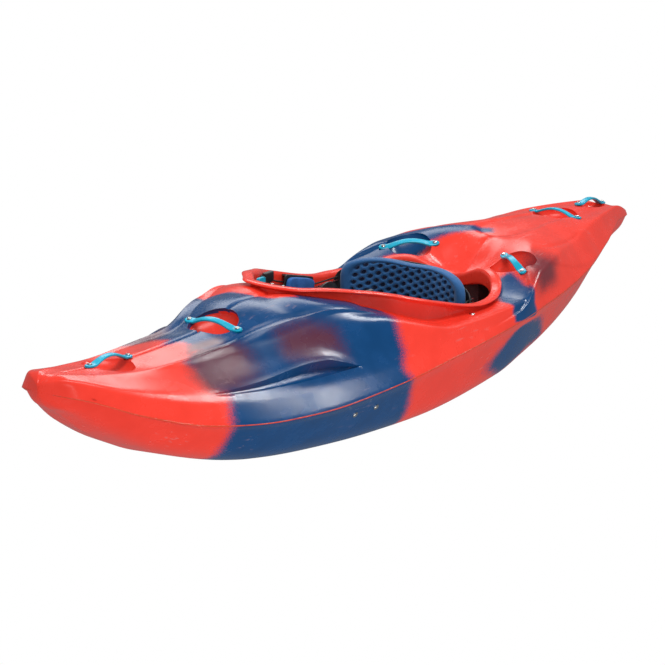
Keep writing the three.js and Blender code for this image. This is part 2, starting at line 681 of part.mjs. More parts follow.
// Seat on two rails that lie on the inner floor.
function seatParts() {
  const front = seat.x + seat.length / 2;
  const rear = seat.x - seat.length / 2;
  const half = seat.width / 2;
  const railLow = shellReach(lowColumn(rail.x, rail.y, rail.length, rail.width)).max[2] + gap;
  const railHigh = railLow + rail.height;
  const bar = box(rail.x, rail.y, (railLow + railHigh) / 2, rail.length, rail.width, rail.height);
  placePair('seat_rail', bar, finishes.plastic);

  const skidLow = railHigh + gap;
  const floor = skidLow + rail.skid;
  const high = floor + seat.sheet;
  const sheet = box(seat.x, 0, floor + seat.sheet / 2, seat.length, seat.width, seat.sheet);
  const earMiddle = seat.earTop - seat.ear;
  const side = new THREE.Shape();
  side.moveTo(rear, floor);
  side.lineTo(front, floor);
  side.lineTo(front, seat.front);
  side.bezierCurveTo(front - seat.ear, seat.front, seat.x + seat.ear, seat.rear, seat.x + seat.ear,
    earMiddle);
  side.absarc(seat.x, earMiddle, seat.ear, 0, Math.PI);
  side.bezierCurveTo(seat.x - seat.ear, seat.rear, rear + seat.ear, seat.rear, rear, seat.rear);
  const wall = sidePlate(side, half - seat.sheet, half);
  const skidHeight = rail.skid + seat.sheet / 2;
  const skid = box(seat.x, rail.y, skidLow + skidHeight / 2, seat.length, rail.width, skidHeight);
  place('seat_pan', geometryOf(sheet.add(wall).add(mirrored(wall)).add(skid).add(mirrored(skid))),
    finishes.plastic);

  const pad = crownedPad(seatPad.length, seatPad.width, seatPad.thick, seatPad.crown);
  place('seat_pad', geometryOf(moved(pad, shift(seat.x, 0, high + gap))), finishes.pad);
  const hip = crownedPad(hipPad.length, hipPad.height, hipPad.thick, hipPad.crown);
  const hipPlace = product(shift(seat.x, half - seat.sheet - gap, hipPad.z), facingInboard);
  placePair('hip_pad', moved(hip, hipPlace), finishes.pad);
}

// Adjuster cord on the port side: the run from the backband to the pull tab. A second run lies below it.
const cordRun = [
  [-163, 205, 267], [-152, 205, 267], [-139, 205, 267], [-124, 210, 265], [-108, 217, 262], [-70, 224, 260],
  [-20, 224, 270], [40, 224, 285], [100, 223, 300], [150, 213, 316], [200, 187, 334], [228, 162, 350],
  [236, 154, 355], [244, 152, 358], [256, 152, 359.5], [276, 152, 361], [285, 146, 362],
  [294, 135.5, 363.5], [302, 127.5, 365.5], [308, 126.5, 366], [315, 126.5, 366],
];

// A curve whose sections stand at its own points, close together where the points are.
class CordPath extends THREE.CatmullRomCurve3 {
  getPointAt(u, target) {
    return this.getPoint(u, target);
  }

  getTangentAt(u, target) {
    return this.getTangent(u, target);
  }
}

// A round cord along a line of points.
function cordAlong(points, radius) {
  const shape = new THREE.Shape(Array.from({ length: cordSides }, (_, i) => new THREE.Vector2(
    radius * Math.cos(2 * Math.PI * i / cordSides),
    radius * Math.sin(2 * Math.PI * i / cordSides),
  )));
  const extrudePath = new CordPath(points, false, 'centripetal');
  const settings = { extrudePath, steps: points.length - 1, bevelEnabled: false };
  return solid(new THREE.ExtrudeGeometry(shape, settings));
}

// The doubled cord with the bend that joins its two runs, at a radius.
function doubledCord(radius) {
  const run = (drop) => cordRun.map(([x, y, z]) => new THREE.Vector3(x, y, z - drop));
  const [x, y, z] = cordRun[cordRun.length - 1];
  const bendRadius = cord.spacing / 2;
  const bend = [-bendRadius, 0].map((dx) => new THREE.Vector3(x + dx, y, z));
  for (let i = 1; i < arcCount; i += 1) {
    const angle = Math.PI * (1 / 2 - i / arcCount);
    const rise = bendRadius * Math.sin(angle) - bendRadius;
    bend.push(new THREE.Vector3(x + bendRadius * Math.cos(angle), y, z + rise));
  }
  [0, -bendRadius].forEach((dx) => bend.push(new THREE.Vector3(x + dx, y, z - cord.spacing)));
  return cordAlong(run(0), radius).add(cordAlong(run(cord.spacing), radius)).add(cordAlong(bend, radius));
}

// Adjuster cords with a knot at each end, the cleats that grip them and the pull tabs in their front loops.
function cordParts() {
  const grown = doubledCord(cord.radius + 2 * gap);
  const [endX, endY, endZ] = cordRun[0];
  const ball = new THREE.SphereGeometry(cord.knot, roundCount, arcCount);
  const knot = (drop) => solid(ball.clone(), shift(endX, endY, endZ - drop));
  placePair('adjuster_cord', doubledCord(cord.radius).add(knot(0)).add(knot(cord.spacing)), finishes.cord);

  const [loopX, loopY, loopZ] = cordRun[cordRun.length - 1];
  const middle = loopZ - cord.spacing / 2;
  const slab = sidePlate(oblongShape(tab.length / 2 - tab.grip, 0, tab.length, tab.width, tab.corner),
    -tab.thick / 2, tab.thick / 2);
  const room = cord.radius + 2 * gap;
  const block = (reach) => box(reach - tab.length / 2, 0, 0, tab.length, tab.thick, 2 * reach);
  const slot = block(cord.spacing / 2 + room).subtract(block(cord.spacing / 2 - room - 2 * gap))
    .intersect(box(0, 0, 0, 2 * tab.length, 2 * room, tab.width));
  placePair('pull_tab', moved(slab.subtract(slot), shift(loopX, loopY, middle)), finishes.grip);

  const x = cockpitFront - cockpit.length * cleat.share;
  const wallColumn = box(x, cockpit.halfWidth / 2, middle, cleat.length, cockpit.halfWidth, cleat.height);
  const face = shellReach(wallColumn).min[1] - gap;
  const screwY = (place) => cockpitWidth((cockpitFront - place) / cockpit.length) - cockpit.lip + cockpit.riser / 2;
  const width = screwY(x) + cleat.screwHead - face + cleat.thick;
  const over = highColumn(x, screwY(x), cleat.length, 2 * cleat.screwHead);
  const footHigh = shellReach(over).min[2] - gap;
  const footLow = footHigh - cleat.foot;
  const top = middle + cleat.height / 2;
  const body = box(x, face - cleat.thick / 2, (top + footLow) / 2, cleat.length, cleat.thick,
    top - footLow);
  const foot = box(x, face - cleat.thick + width / 2, (footHigh + footLow) / 2, cleat.length, width,
    cleat.foot);
  let base = body.add(foot);
  [-1, 1].forEach((side, k) => {
    const screwX = x + side * cleat.pitch / 2;
    const y = screwY(screwX);
    const seatTop = shellReach(highColumn(screwX, y, cleat.screw, cleat.screw)).max[2] - 2 * gap;
    const at = shift(screwX, y, 0);
    const profile = [
      [0, footLow], [cleat.screw, footLow], [cleat.screw, seatTop + gap], [cleat.screwHead, seatTop + gap],
      [cleat.screwHead, seatTop + cleat.screw], [0, seatTop + 2 * cleat.screw],
    ];
    placePair(`rim_screw_${k + 1}`, solid(turned(profile), at), finishes.steel);
    const bore = solid(drill(cleat.screw + gap, footLow - overrun, seatTop + overrun), at);
    const recess = solid(drill(cleat.screwHead + gap, seatTop, seatTop + cockpit.lipDrop), at);
    base = base.subtract(bore);
    cutPair(bore.add(recess));
  });
  placePair('cord_cleat', base.subtract(grown), finishes.plastic);
}

// Where the backband's curve stands at a distance from the middle.
const bandBend = (y) => band.x + band.depth * (y / band.halfWidth) ** 2;

// Backband: a curved sheet with side arms that hinge on the brackets, and a pad in front of it.
function backbandParts(eye) {
  const armOut = pivot.y - gap;
  const armIn = armOut - pivot.armThick;
  const reach = armOut - gap;
  const ys = Array.from({ length: sheetCount + 1 }, (_, i) => reach * (2 * i / sheetCount - 1));
  const rear = ys.map((y) => new THREE.Vector2(bandBend(y), y));
  const front = ys.map((y) => new THREE.Vector2(bandBend(y) + band.shell, y)).reverse();
  const sheet = levelPlate(new THREE.Shape(rear.concat(front)), band.bottom + band.inset,
    band.bottom + band.height - band.inset);
  const middle = band.bottom + band.height / 2;
  const armTop = new THREE.Vector2(bandBend(armOut) + band.shell / 2, middle);
  const arm = sidePlate(linkShape(new THREE.Vector2(pivot.x, pivot.z), armTop, pivot.armWidth), armIn,
    armOut);
  const [endX, endY, endZ] = cordRun[0];
  const across = new THREE.Matrix4().makeRotationY(Math.PI / 2);
  const holeAt = (drop) => product(shift(endX, endY, endZ - drop), across);
  const hole = (drop) => solid(drill(cord.radius + 3 * gap, 0, tab.length), holeAt(drop));
  const away = eye.add(hole(0)).add(hole(cord.spacing));
  const shell = sheet.add(arm).add(mirrored(arm)).subtract(away).subtract(mirrored(away));
  place('backband_shell', geometryOf(shell), finishes.plastic);
  const pad = crownedPad(2 * band.halfWidth, band.height, band.pad, band.crown, (p) => new THREE.Vector3(
    bandBend(p.x) + band.shell + 2 * gap + p.z,
    p.x,
    middle + p.y,
  ));
  place('backband_pad', geometryOf(pad), finishes.pad);
}

// Brackets bolted under the deck, with the pins that the backband hinges on.
function bracketParts() {
  const from = pivot.x - bracket.width / 2;
  const to = bracket.boltX + bracket.width / 2;
  const x = (from + to) / 2;
  const armIn = pivot.y - gap - pivot.armThick;
  const far = pivot.y + bracket.thick;
  const eye = solid(drill(turningRadius(pivot.radius, roundCount), armIn - overrun, far + overrun),
    product(shift(pivot.x, 0, pivot.z), alongY));
  const shelfY = pivot.y + bracket.flange / 2;
  const top = shellReach(highColumn(x, shelfY, to - from, bracket.flange)).min[2] - gap;
  const bottom = pivot.z - bracket.width / 2;
  const cheek = box(x, pivot.y + bracket.thick / 2, (bottom + top) / 2, to - from, bracket.thick,
    top - bottom);
  const shelf = box(x, shelfY, top - bracket.thick / 2, to - from, bracket.flange, bracket.thick);
  const at = shift(bracket.boltX, bracket.boltY, 0);
  const nutSeat = top - bracket.thick;
  const boltHole = solid(drill(bolt.shank + gap, nutSeat - overrun, top + overrun), at);
  placePair('backband_bracket', cheek.add(shelf).subtract(eye).subtract(boltHole), finishes.aluminium);

  const inner = armIn - gap;
  const outer = far + gap;
  const pin = [
    [0, inner - bolt.headHeight], [bolt.head, inner - bolt.headHeight], [bolt.head, inner],
    [pivot.radius, inner], [pivot.radius, outer], [bolt.head, outer],
    [bolt.head, outer + bolt.nutHeight], [0, outer + bolt.nutHeight],
  ];
  placePair('backband_pivot', solid(turned(pin), product(shift(pivot.x, 0, pivot.z), alongY)),
    finishes.steel);

  const seatTop = deckHeightAt(bracket.boltX, bracket.boltY) - grip.sink;
  placePair('deck_bolt', solid(turned(boltProfile(seatTop + gap, nutSeat - gap)), at), finishes.steel);
  const bore = solid(drill(bolt.shank + gap, top - overrun, seatTop + overrun), at);
  cutPair(bore.add(solid(drill(bolt.spot, seatTop, seatTop + 2 * hull.wall), at)));
  backbandParts(eye);
}

// Thigh braces: a channel that slides along the inner wall of the opening, with a pad on its inboard face.
function braceParts() {
  const share = (cockpitFront - brace.x) / cockpit.length;
  const middle = rimTop({ x: brace.x, y: cockpitWidth(share), t: share }) - brace.drop;
  const open = brace.y - gap;
  const back = open - brace.depth;
  const tilt = product(shift(brace.x, 0, middle),
    new THREE.Matrix4().makeRotationY(-Math.atan(brace.slope)));
  const web = sidePlate(oblongShape(0, 0, brace.length, brace.height, brace.corner), back,
    back + brace.web);
  const edge = brace.height / 2 - brace.web / 2;
  const lip = (side) => box(0, open - brace.depth / 2, side * edge, brace.length - 2 * brace.corner,
    brace.depth, brace.web);
  placePair('thigh_brace', moved(web.add(lip(-1)).add(lip(1)), tilt), finishes.plastic);
  const pad = crownedPad(bracePad.length, bracePad.height, bracePad.thick, bracePad.crown);
  placePair('thigh_brace_pad', moved(pad, product(tilt, shift(0, back - gap, 0), facingInboard)),
    finishes.pad);
}

// A frame on the hull's side: its X along the hull and its Z outwards.
function sideFrame(x, z, above = false) {
  const y = sideAt(x, z, above);
  const up = new THREE.Vector3(0, sideAt(x, z + probe, above) - sideAt(x, z - probe, above), 2 * probe);
  const along = new THREE.Vector3(2 * probe, sideAt(x + probe, z, above) - sideAt(x - probe, z, above), 0);
  return frameAt(new THREE.Vector3(x, y, z), along, up.cross(along).normalize());
}

// Footrest rails: a tilted tab bolted to the hull's side, bent into a bar that runs forward.
function footrestRails() {
  const spot = sideFrame(footRail.tabX, footRail.z);
  const column = new THREE.BoxGeometry(footRail.tabLength, footRail.height, 4 * hull.wall);
  const inside = shellReach(solid(column), spot).min[2] - gap;
  const under = inside - footRail.thick;
  const tabPlate = new THREE.BoxGeometry(footRail.tabLength, footRail.height, footRail.thick);
  const end = new THREE.Vector3(footRail.tabLength / 2 - footRail.overlap, 0, under).applyMatrix4(spot);
  const outward = new THREE.Vector3().setFromMatrixColumn(spot, 2);
  const lean = footRail.height / 2 * Math.abs(outward.z / outward.y);
  const bar = new THREE.Shape([
    [end.x, end.y - lean - footRail.thick / 2], [footRail.bendX, footRail.y - footRail.thick],
    [footRail.endX, footRail.y - footRail.thick], [footRail.endX, footRail.y],
    [footRail.bendX + footRail.thick / 2, footRail.y], [end.x, end.y - lean + footRail.thick / 2],
  ].map((p) => new THREE.Vector2(...p)));
  let rail = solid(tabPlate, product(spot, shift(0, 0, inside - footRail.thick / 2)))
    .add(levelPlate(bar, end.z - footRail.height / 2, end.z + footRail.height / 2));
  [-1, 1].forEach((side, k) => {
    const matrix = product(spot, shift(side * footRail.boltPitch / 2, 0, 0));
    const seatTop = -grip.sink;
    rail = rail.subtract(solid(drill(bolt.shank + gap, under - overrun, overrun), matrix));
    const hole = solid(drill(bolt.shank + gap, inside - overrun, overrun), matrix);
    cutPair(hole.add(solid(drill(bolt.spot, seatTop, 2 * hull.wall), matrix)));
    placePair(`rail_bolt_${k + 1}`, solid(turned(boltProfile(seatTop + gap, under - gap)), matrix),
      finishes.steel);
  });
  placePair('footrest_rail', rail, finishes.aluminium);
  return end.z;
}

// Footrest plate with its foam, and a shoe at each end that rides along a rail.
function footrestParts() {
  const railMiddle = footrestRails();
  const height = footrest.high - footrest.low;
  const middle = footrest.low + height / 2;
  const reach = footRail.y - footRail.thick - gap;
  const outline = oblongShape(0, middle, 2 * footrest.halfWidth, height, footrest.corner);
  const settings = { depth: footrest.thick, bevelEnabled: false, curveSegments: arcCount };
  const sheet = solid(new THREE.ExtrudeGeometry(outline, settings), product(shift(footrest.x, 0, 0),
    facingForward));
  const shoe = box(footrest.x + footrest.thick, reach - footrest.thick / 2, railMiddle, footrest.shoe,
    footrest.thick, footrest.shoe);
  const ends = shoe.add(mirrored(shoe));
  const lug = box(footrest.x + footrest.thick / 2, 0, railMiddle, footrest.thick, 2 * reach,
    footRail.height);
  place('footrest_plate', geometryOf(sheet.add(ends).add(lug)), finishes.aluminium);
  const width = 2 * (footrest.halfWidth - footrest.foamInset);
  const foam = crownedPad(width, height - 2 * footrest.foamInset, footrest.foam, footrest.crown);
  place('footrest_foam', geometryOf(moved(foam, product(shift(footrest.x - gap, 0, middle), facingAft))),
    finishes.foam);
}

// Drain plug on the starboard side of the stern, with its sealing ring under the head.
function plugParts() {
  const port = sideFrame(plug.x, plug.z, true);
  const floor = -plug.recess;
  const head = floor + plug.seal + 2 * gap;
  const top = head + plug.head;
  const profile = [
    [0, floor - plug.neckLength], [plug.neck, floor - plug.neckLength], [plug.neck, head],
    [plug.radius, head],
    [plug.radius, top - plug.chamfer], [plug.radius - plug.chamfer, top], [0, top],
  ];
  const slot = new THREE.BoxGeometry(2 * plug.radius + overrun, plug.slot, 2 * plug.slot);
  const slotCut = solid(slot, product(port, shift(0, 0, top)));
  const cap = solid(turned(profile, plugCount), port).subtract(slotCut);
  place('drain_plug', geometryOf(mirrored(cap)), finishes.plastic);
  const inner = turningRadius(plug.neck, plugCount);
  const outer = plug.radius - gap;
  const ring = [[inner, floor + gap], [outer, floor + gap], [outer, head - gap], [inner, head - gap],
    [inner, floor + gap]];
  place('drain_seal', geometryOf(mirrored(solid(turned(ring, plugCount), port))), finishes.seal);
  const bore = solid(drill(inner, floor - plug.neckLength - overrun, overrun, plugCount), port);
  const recess = solid(drill(turningRadius(plug.radius, plugCount), floor, plug.radius, plugCount), port);
  cuts.push(mirrored(bore.add(recess)));
}

// Foam pillars that stand between floor and deck, trimmed to the hollow and clear of the scoops.
function pillarParts() {
  let room = hullSkin(cavityEndShare, hull.wall + gap);
  clearBowls.forEach((bowl) => {
    room = room.subtract(bowl);
  });
  const block = (from, to) => box((from + to) / 2, 0, low, Math.abs(to - from), pillar.thick, 4 * low);
  const trimmed = (from, to) => block(from, to).intersect(room);
  place('bow_pillar', geometryOf(trimmed(pillar.bowFrom, pillar.bowTo)), finishes.foam);
  place('stern_pillar', geometryOf(trimmed(pillar.sternTo, pillar.sternFrom)), finishes.foam);
}

// The shell with its scoops and fastener holes cut.
function shellParts() {
  let shell = bareShell;
  bowls.concat(cuts).forEach((cut) => {
    shell = shell.subtract(cut);
  });
  const pieces = shell.decompose().sort((a, b) => b.volume() - a.volume());
  place('hull_shell', geometryOf(pieces[0].simplify(gap / 3)), finishes.shell);
}

seatParts();
bracketParts();
cordParts();
braceParts();
footrestParts();
plugParts();
pillarParts();
shellParts();

export default kayak;
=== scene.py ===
"""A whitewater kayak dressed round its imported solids.

Everything is in metres: +X towards the bow, +Y to port, +Z up, the flat under the keel at z = 0.
"""

from __future__ import annotations

import json
import logging
import math
from collections.abc import Callable, Sequence
from dataclasses import dataclass, field, replace
from enum import Enum

import bpy
import numpy as np
from mathutils import Matrix, Vector
from mathutils.kdtree import KDTree

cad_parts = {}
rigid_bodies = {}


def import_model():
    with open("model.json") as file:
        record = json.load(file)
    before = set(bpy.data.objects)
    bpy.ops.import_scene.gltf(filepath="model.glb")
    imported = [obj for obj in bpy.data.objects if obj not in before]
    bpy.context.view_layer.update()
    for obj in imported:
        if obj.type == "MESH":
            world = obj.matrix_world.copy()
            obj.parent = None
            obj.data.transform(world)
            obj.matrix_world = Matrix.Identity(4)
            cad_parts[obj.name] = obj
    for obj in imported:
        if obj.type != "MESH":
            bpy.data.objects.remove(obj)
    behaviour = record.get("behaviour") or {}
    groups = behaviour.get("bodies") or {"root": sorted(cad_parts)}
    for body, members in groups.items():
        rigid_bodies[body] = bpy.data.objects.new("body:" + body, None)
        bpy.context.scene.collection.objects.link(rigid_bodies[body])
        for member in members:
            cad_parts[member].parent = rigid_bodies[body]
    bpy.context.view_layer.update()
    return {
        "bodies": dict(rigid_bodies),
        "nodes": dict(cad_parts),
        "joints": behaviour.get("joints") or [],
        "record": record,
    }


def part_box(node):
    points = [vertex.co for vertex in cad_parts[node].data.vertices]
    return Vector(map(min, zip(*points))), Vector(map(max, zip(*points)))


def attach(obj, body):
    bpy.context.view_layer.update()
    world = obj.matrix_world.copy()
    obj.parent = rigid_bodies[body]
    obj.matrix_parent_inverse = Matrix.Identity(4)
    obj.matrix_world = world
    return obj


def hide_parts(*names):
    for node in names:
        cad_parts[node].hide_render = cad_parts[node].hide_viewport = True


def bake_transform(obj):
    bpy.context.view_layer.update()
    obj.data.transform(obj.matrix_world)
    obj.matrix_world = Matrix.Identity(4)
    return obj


LOG = logging.getLogger("kayak")
Colour = tuple[float, float, float]
Piece = bpy.types.Object
Node = bpy.types.Node
Socket = bpy.types.NodeSocket
Tree = bpy.types.NodeTree


# ---- mesh helpers


def new_object(name: str, vertices: np.ndarray, faces: Sequence[Sequence[int]], smooth: bool = True) -> Piece:
    """Makes a mesh object at the origin, with its place in its mesh.

    Args:
        name: The piece's name.
        vertices: Its points, one row each.
        faces: Its faces as rows of point numbers.
        smooth: Whether the faces are shaded smooth.

    Returns:
        The new object, linked to the scene.
    """
    mesh = bpy.data.meshes.new(name)
    mesh.from_pydata([tuple(map(float, p)) for p in vertices], [], [tuple(map(int, f)) for f in faces])
    mesh.validate()
    mesh.polygons.foreach_set("use_smooth", [smooth] * len(mesh.polygons))
    made = bpy.data.objects.new(name, mesh)
    bpy.context.scene.collection.objects.link(made)
    return made


def discard(*objects: Piece) -> None:
    """Removes helper objects and their meshes.

    Args:
        objects: The objects to remove.
    """
    for item in objects:
        mesh = item.data
        bpy.data.objects.remove(item)
        bpy.data.meshes.remove(mesh)


def settle(piece: Piece) -> Piece:
    """Turns a piece's modifiers into its plain mesh.

    Args:
        piece: The object with live modifiers.

    Returns:
        The same object, without modifiers.
    """
    bpy.context.view_layer.update()
    graph = bpy.context.evaluated_depsgraph_get()
    mesh = bpy.data.meshes.new_from_object(piece.evaluated_get(graph))
    old = piece.data
    piece.modifiers.clear()
    piece.data = mesh
    bpy.data.meshes.remove(old)
    mesh.name = piece.name
    return piece


def carve(piece: Piece, tool: Piece, operation: str) -> Piece:
    """Joins, cuts or crosses a solid with another and throws the other away.

    Args:
        piece: The solid that stays.
        tool: The solid that is used up.
        operation: UNION, DIFFERENCE or INTERSECT.

    Returns:
        The first solid.
    """
    step = piece.modifiers.new("carve", "BOOLEAN")
    step.object, step.operation, step.solver = tool, operation, "MANIFOLD"
    settle(piece)
    discard(tool)
    return piece


def coordinates(piece: Piece) -> np.ndarray:
    """A piece's points as rows.

    Args:
        piece: The piece.

    Returns:
        An array of points by three.
    """
    flat = np.empty(len(piece.data.vertices) * 3, np.float32)
    piece.data.vertices.foreach_get("co", flat)
    return flat.reshape(-1, 3).astype(float)


def store(piece: Piece, name: str, values: np.ndarray) -> None:
    """Keeps one number for each point of a piece, for its material to read."""
    made = piece.data.attributes.new(name, "FLOAT", "POINT")
    made.data.foreach_set("value", np.asarray(values, np.float32))


def crease(piece: Piece, degrees: float) -> Piece:
    """Shades a piece smooth except across edges sharper than an angle."""
    piece.data.set_sharp_from_angle(angle=math.radians(degrees))
    return piece


def shade_round(piece: Piece, degrees: float) -> Piece:
    """Shades a whole piece smooth and then creases it."""
    piece.data.polygons.foreach_set("use_smooth", [True] * len(piece.data.polygons))
    return crease(piece, degrees)


def copy_of(piece: Piece) -> Piece:
    """A second object with its own mesh, linked to the scene.

    Args:
        piece: The object to copy.

    Returns:
        The copy.
    """
    made = piece.copy()
    made.data = piece.data.copy()
    bpy.context.scene.collection.objects.link(made)
    return made


def turns_of(count: int) -> np.ndarray:
    """Evenly spaced angles of one full turn."""
    return np.linspace(0, 2 * math.pi, count, endpoint=False)


def search_tree(points: np.ndarray) -> KDTree:
    """A tree that finds the nearest of some points.

    Args:
        points: The points, one row each.

    Returns:
        The tree.
    """
    tree = KDTree(len(points))
    for k, p in enumerate(points):
        tree.insert(p, k)
    tree.balance()
    return tree


def grid_faces(
    rows: int, columns: int, wrap_rows: bool = False, wrap_columns: bool = False
) -> list[tuple[int, int, int, int]]:
    """The four-cornered faces of a grid of points.

    Args:
        rows: Number of rows.
        columns: Number of points in a row.
        wrap_rows: Whether the last row meets the first.
        wrap_columns: Whether each row is a ring.

    Returns:
        The faces, by point number.
    """
    faces = []
    for i in range(rows if wrap_rows else rows - 1):
        below, above = i * columns, (i + 1) % rows * columns
        for j in range(columns if wrap_columns else columns - 1):
            k = (j + 1) % columns
            faces.append((below + j, below + k, above + k, above + j))
    return faces


def volume_of(vertices: np.ndarray, faces: Sequence[Sequence[int]]) -> float:
    """The signed volume that closed faces hold.

    Args:
        vertices: The points, one row each.
        faces: The faces, by point number.

    Returns:
        The volume, below 0 where the faces look inwards.
    """
    total = 0.0
    for face in faces:
        a = vertices[face[0]]
        for k in range(1, len(face) - 1):
            total += float(np.dot(a, np.cross(vertices[face[k]], vertices[face[k + 1]])))
    return total / 6


def closed_rings(name: str, rings: np.ndarray, smooth: bool = True) -> Piece:
    """A closed solid from rings of points, with a fan over each end.

    Args:
        name: The piece's name.
        rings: An array of rings by points by three.
        smooth: Whether it is shaded smooth.

    Returns:
        The solid, its faces outwards.
    """
    count, size = rings.shape[:2]
    vertices = np.concatenate([rings.reshape(-1, 3), rings[:1].mean(1), rings[-1:].mean(1)])
    faces: list[tuple[int, ...]] = list(grid_faces(count, size, wrap_columns=True))
    start, end, last = count * size, count * size + 1, (count - 1) * size
    for j in range(size):
        k = (j + 1) % size
        faces.append((start, k, j))
        faces.append((end, last + j, last + k))
    if volume_of(vertices, faces) < 0:
        faces = [face[::-1] for face in faces]
    return new_object(name, vertices, faces, smooth)


def closed_loop(name: str, rings: np.ndarray) -> Piece:
    """A closed solid from rings that follow one another round, as on a tyre.

    Args:
        name: The piece's name.
        rings: An array of rings by points by three.

    Returns:
        The solid, its faces outwards.
    """
    count, size = rings.shape[:2]
    vertices = rings.reshape(-1, 3)
    faces = grid_faces(count, size, wrap_rows=True, wrap_columns=True)
    if volume_of(vertices, faces) < 0:
        faces = [face[::-1] for face in faces]
    return new_object(name, vertices, faces)


def lathe(name: str, profile: Sequence[tuple[float, float]], place: Matrix, sides: int = 48) -> Piece:
    """A turned solid about its own Z.

    Args:
        name: The piece's name.
        profile: Pairs of radius and height, from one end to the other.
        place: Where the turned solid stands.
        sides: Its number of sides.

    Returns:
        The solid.
    """
    turns = turns_of(sides)
    rings = np.array([[(r * math.cos(a), r * math.sin(a), z) for a in turns] for r, z in profile])
    return closed_rings(name, placed(rings, place))


def placed(points: np.ndarray, place: Matrix) -> np.ndarray:
    """Points moved by a placement."""
    a = np.array(place)
    return points @ a[:3, :3].T + a[:3, 3]


def prism(name: str, outline: np.ndarray, low: float, high: float, place: Matrix | None = None) -> Piece:
    """An upright solid over a flat outline.

    Args:
        name: The piece's name.
        outline: Pairs of x and y round the shape.
        low: The height of its foot.
        high: The height of its top.
        place: Where it stands.

    Returns:
        The solid.
    """
    rings = np.array([[(x, y, z) for x, y in outline] for z in (low, high)])
    return closed_rings(name, placed(rings, place or Matrix.Identity(4)), smooth=False)


def smoothstep(low: float, high: float, value: np.ndarray) -> np.ndarray:
    """A soft step from 0 at low to 1 at high."""
    t = np.clip((np.asarray(value, float) - low) / (high - low), 0, 1)
    return t * t * (3 - 2 * t)


def frame_at(origin: Sequence[float], along: Sequence[float], up: Sequence[float]) -> Matrix:
    """A placement with its own X along one direction and its own Z near another.

    Args:
        origin: Where it stands.
        along: The direction of its own X.
        up: A direction near its Z.

    Returns:
        The placement.
    """
    x = Vector(along).normalized()
    y = Vector(up).cross(x).normalized()
    made = Matrix((x, y, x.cross(y))).transposed().to_4x4()
    made.translation = Vector(origin)
    return made


# ---- shape of the hull


def through(places: Sequence[float], heights: Sequence[float], at: np.ndarray) -> np.ndarray:
    """A smooth line through a table that never swings past its values.

    Args:
        places: The table's places, rising.
        heights: The table's values.
        at: Where the line is wanted.

    Returns:
        Its values there.
    """
    xs, ys = np.asarray(places, float), np.asarray(heights, float)
    at = np.clip(np.asarray(at, float), xs[0], xs[-1])
    gaps = np.diff(xs)
    rise = np.diff(ys) / gaps
    slope = np.concatenate([rise[:1], np.zeros(len(xs) - 2), rise[-1:]])
    a, b = rise[:-1], rise[1:]
    wa, wb = 2 * gaps[1:] + gaps[:-1], gaps[1:] + 2 * gaps[:-1]
    same = a * b > 0
    safe_a, safe_b = np.where(same, a, 1), np.where(same, b, 1)
    slope[1:-1] = np.where(same, (wa + wb) / (wa / safe_a + wb / safe_b), 0)
    i = np.clip(np.searchsorted(xs, at) - 1, 0, len(xs) - 2)
    u = (at - xs[i]) / gaps[i]
    square, cube = u**2, u**3
    return (
        ys[i] * (2 * cube - 3 * square + 1)
        + ys[i + 1] * (3 * square - 2 * cube)
        + slope[i] * gaps[i] * (cube - 2 * square + u)
        + slope[i + 1] * gaps[i] * (cube - square)
    )


STATIONS = (-1, -0.88, -0.72, -0.56, -0.43, -0.32, -0.2, 0.05, 0.25, 0.42, 0.57, 0.75, 0.88, 0.96, 1)
WIDTHS = {
    "bottom": (0.012, 0.1, 0.265, 0.42, 0.53, 0.605, 0.68, 0.745, 0.72, 0.67, 0.595, 0.455, 0.305, 0.165, 0.008),
    "parting": (0.035, 0.225, 0.475, 0.675, 0.79, 0.865, 0.935, 1, 0.985, 0.96, 0.885, 0.72, 0.5, 0.28, 0.014),
    "shoulder": (0.03, 0.215, 0.41, 0.575, 0.72, 0.83, 0.91, 0.955, 0.865, 0.78, 0.7, 0.595, 0.435, 0.225, 0.014),
    "edge": (0.02, 0.19, 0.355, 0.5, 0.665, 0.795, 0.885, 0.915, 0.72, 0.49, 0.335, 0.285, 0.2, 0.1, 0.01),
}
HEIGHTS = {
    "keel": (0.565, 0.41, 0.23, 0.113, 0.051, 0.02, 0.005, 0, 0.02, 0.06, 0.126, 0.303, 0.528, 0.723, 0.79),
    "bottom": (0.575, 0.53, 0.345, 0.205, 0.13, 0.083, 0.04, 0.018, 0.047, 0.095, 0.158, 0.33, 0.56, 0.74, 0.8),
    "parting": (0.655, 0.69, 0.655, 0.6, 0.57, 0.555, 0.545, 0.51, 0.465, 0.455, 0.475, 0.56, 0.7, 0.82, 0.86),
    "shoulder": (0.66, 0.73, 0.73, 0.725, 0.715, 0.68, 0.61, 0.585, 0.587, 0.597, 0.63, 0.72, 0.833, 0.93, 0.955),
    "edge": (0.665, 0.8, 0.82, 0.795, 0.81, 0.79, 0.65, 0.68, 0.85, 0.9, 0.845, 0.855, 0.905, 0.955, 0.97),
    "crown": (0.665, 0.79, 0.82, 0.86, 0.885, 0.82, 0.64, 0.7, 0.9, 0.975, 0.865, 0.86, 0.905, 0.945, 0.96),
    "centre": (0.66, 0.805, 0.86, 0.88, 0.82, 0.56, 0.55, 0.7, 0.9, 1.01, 0.905, 0.89, 0.918, 0.95, 0.965),
}


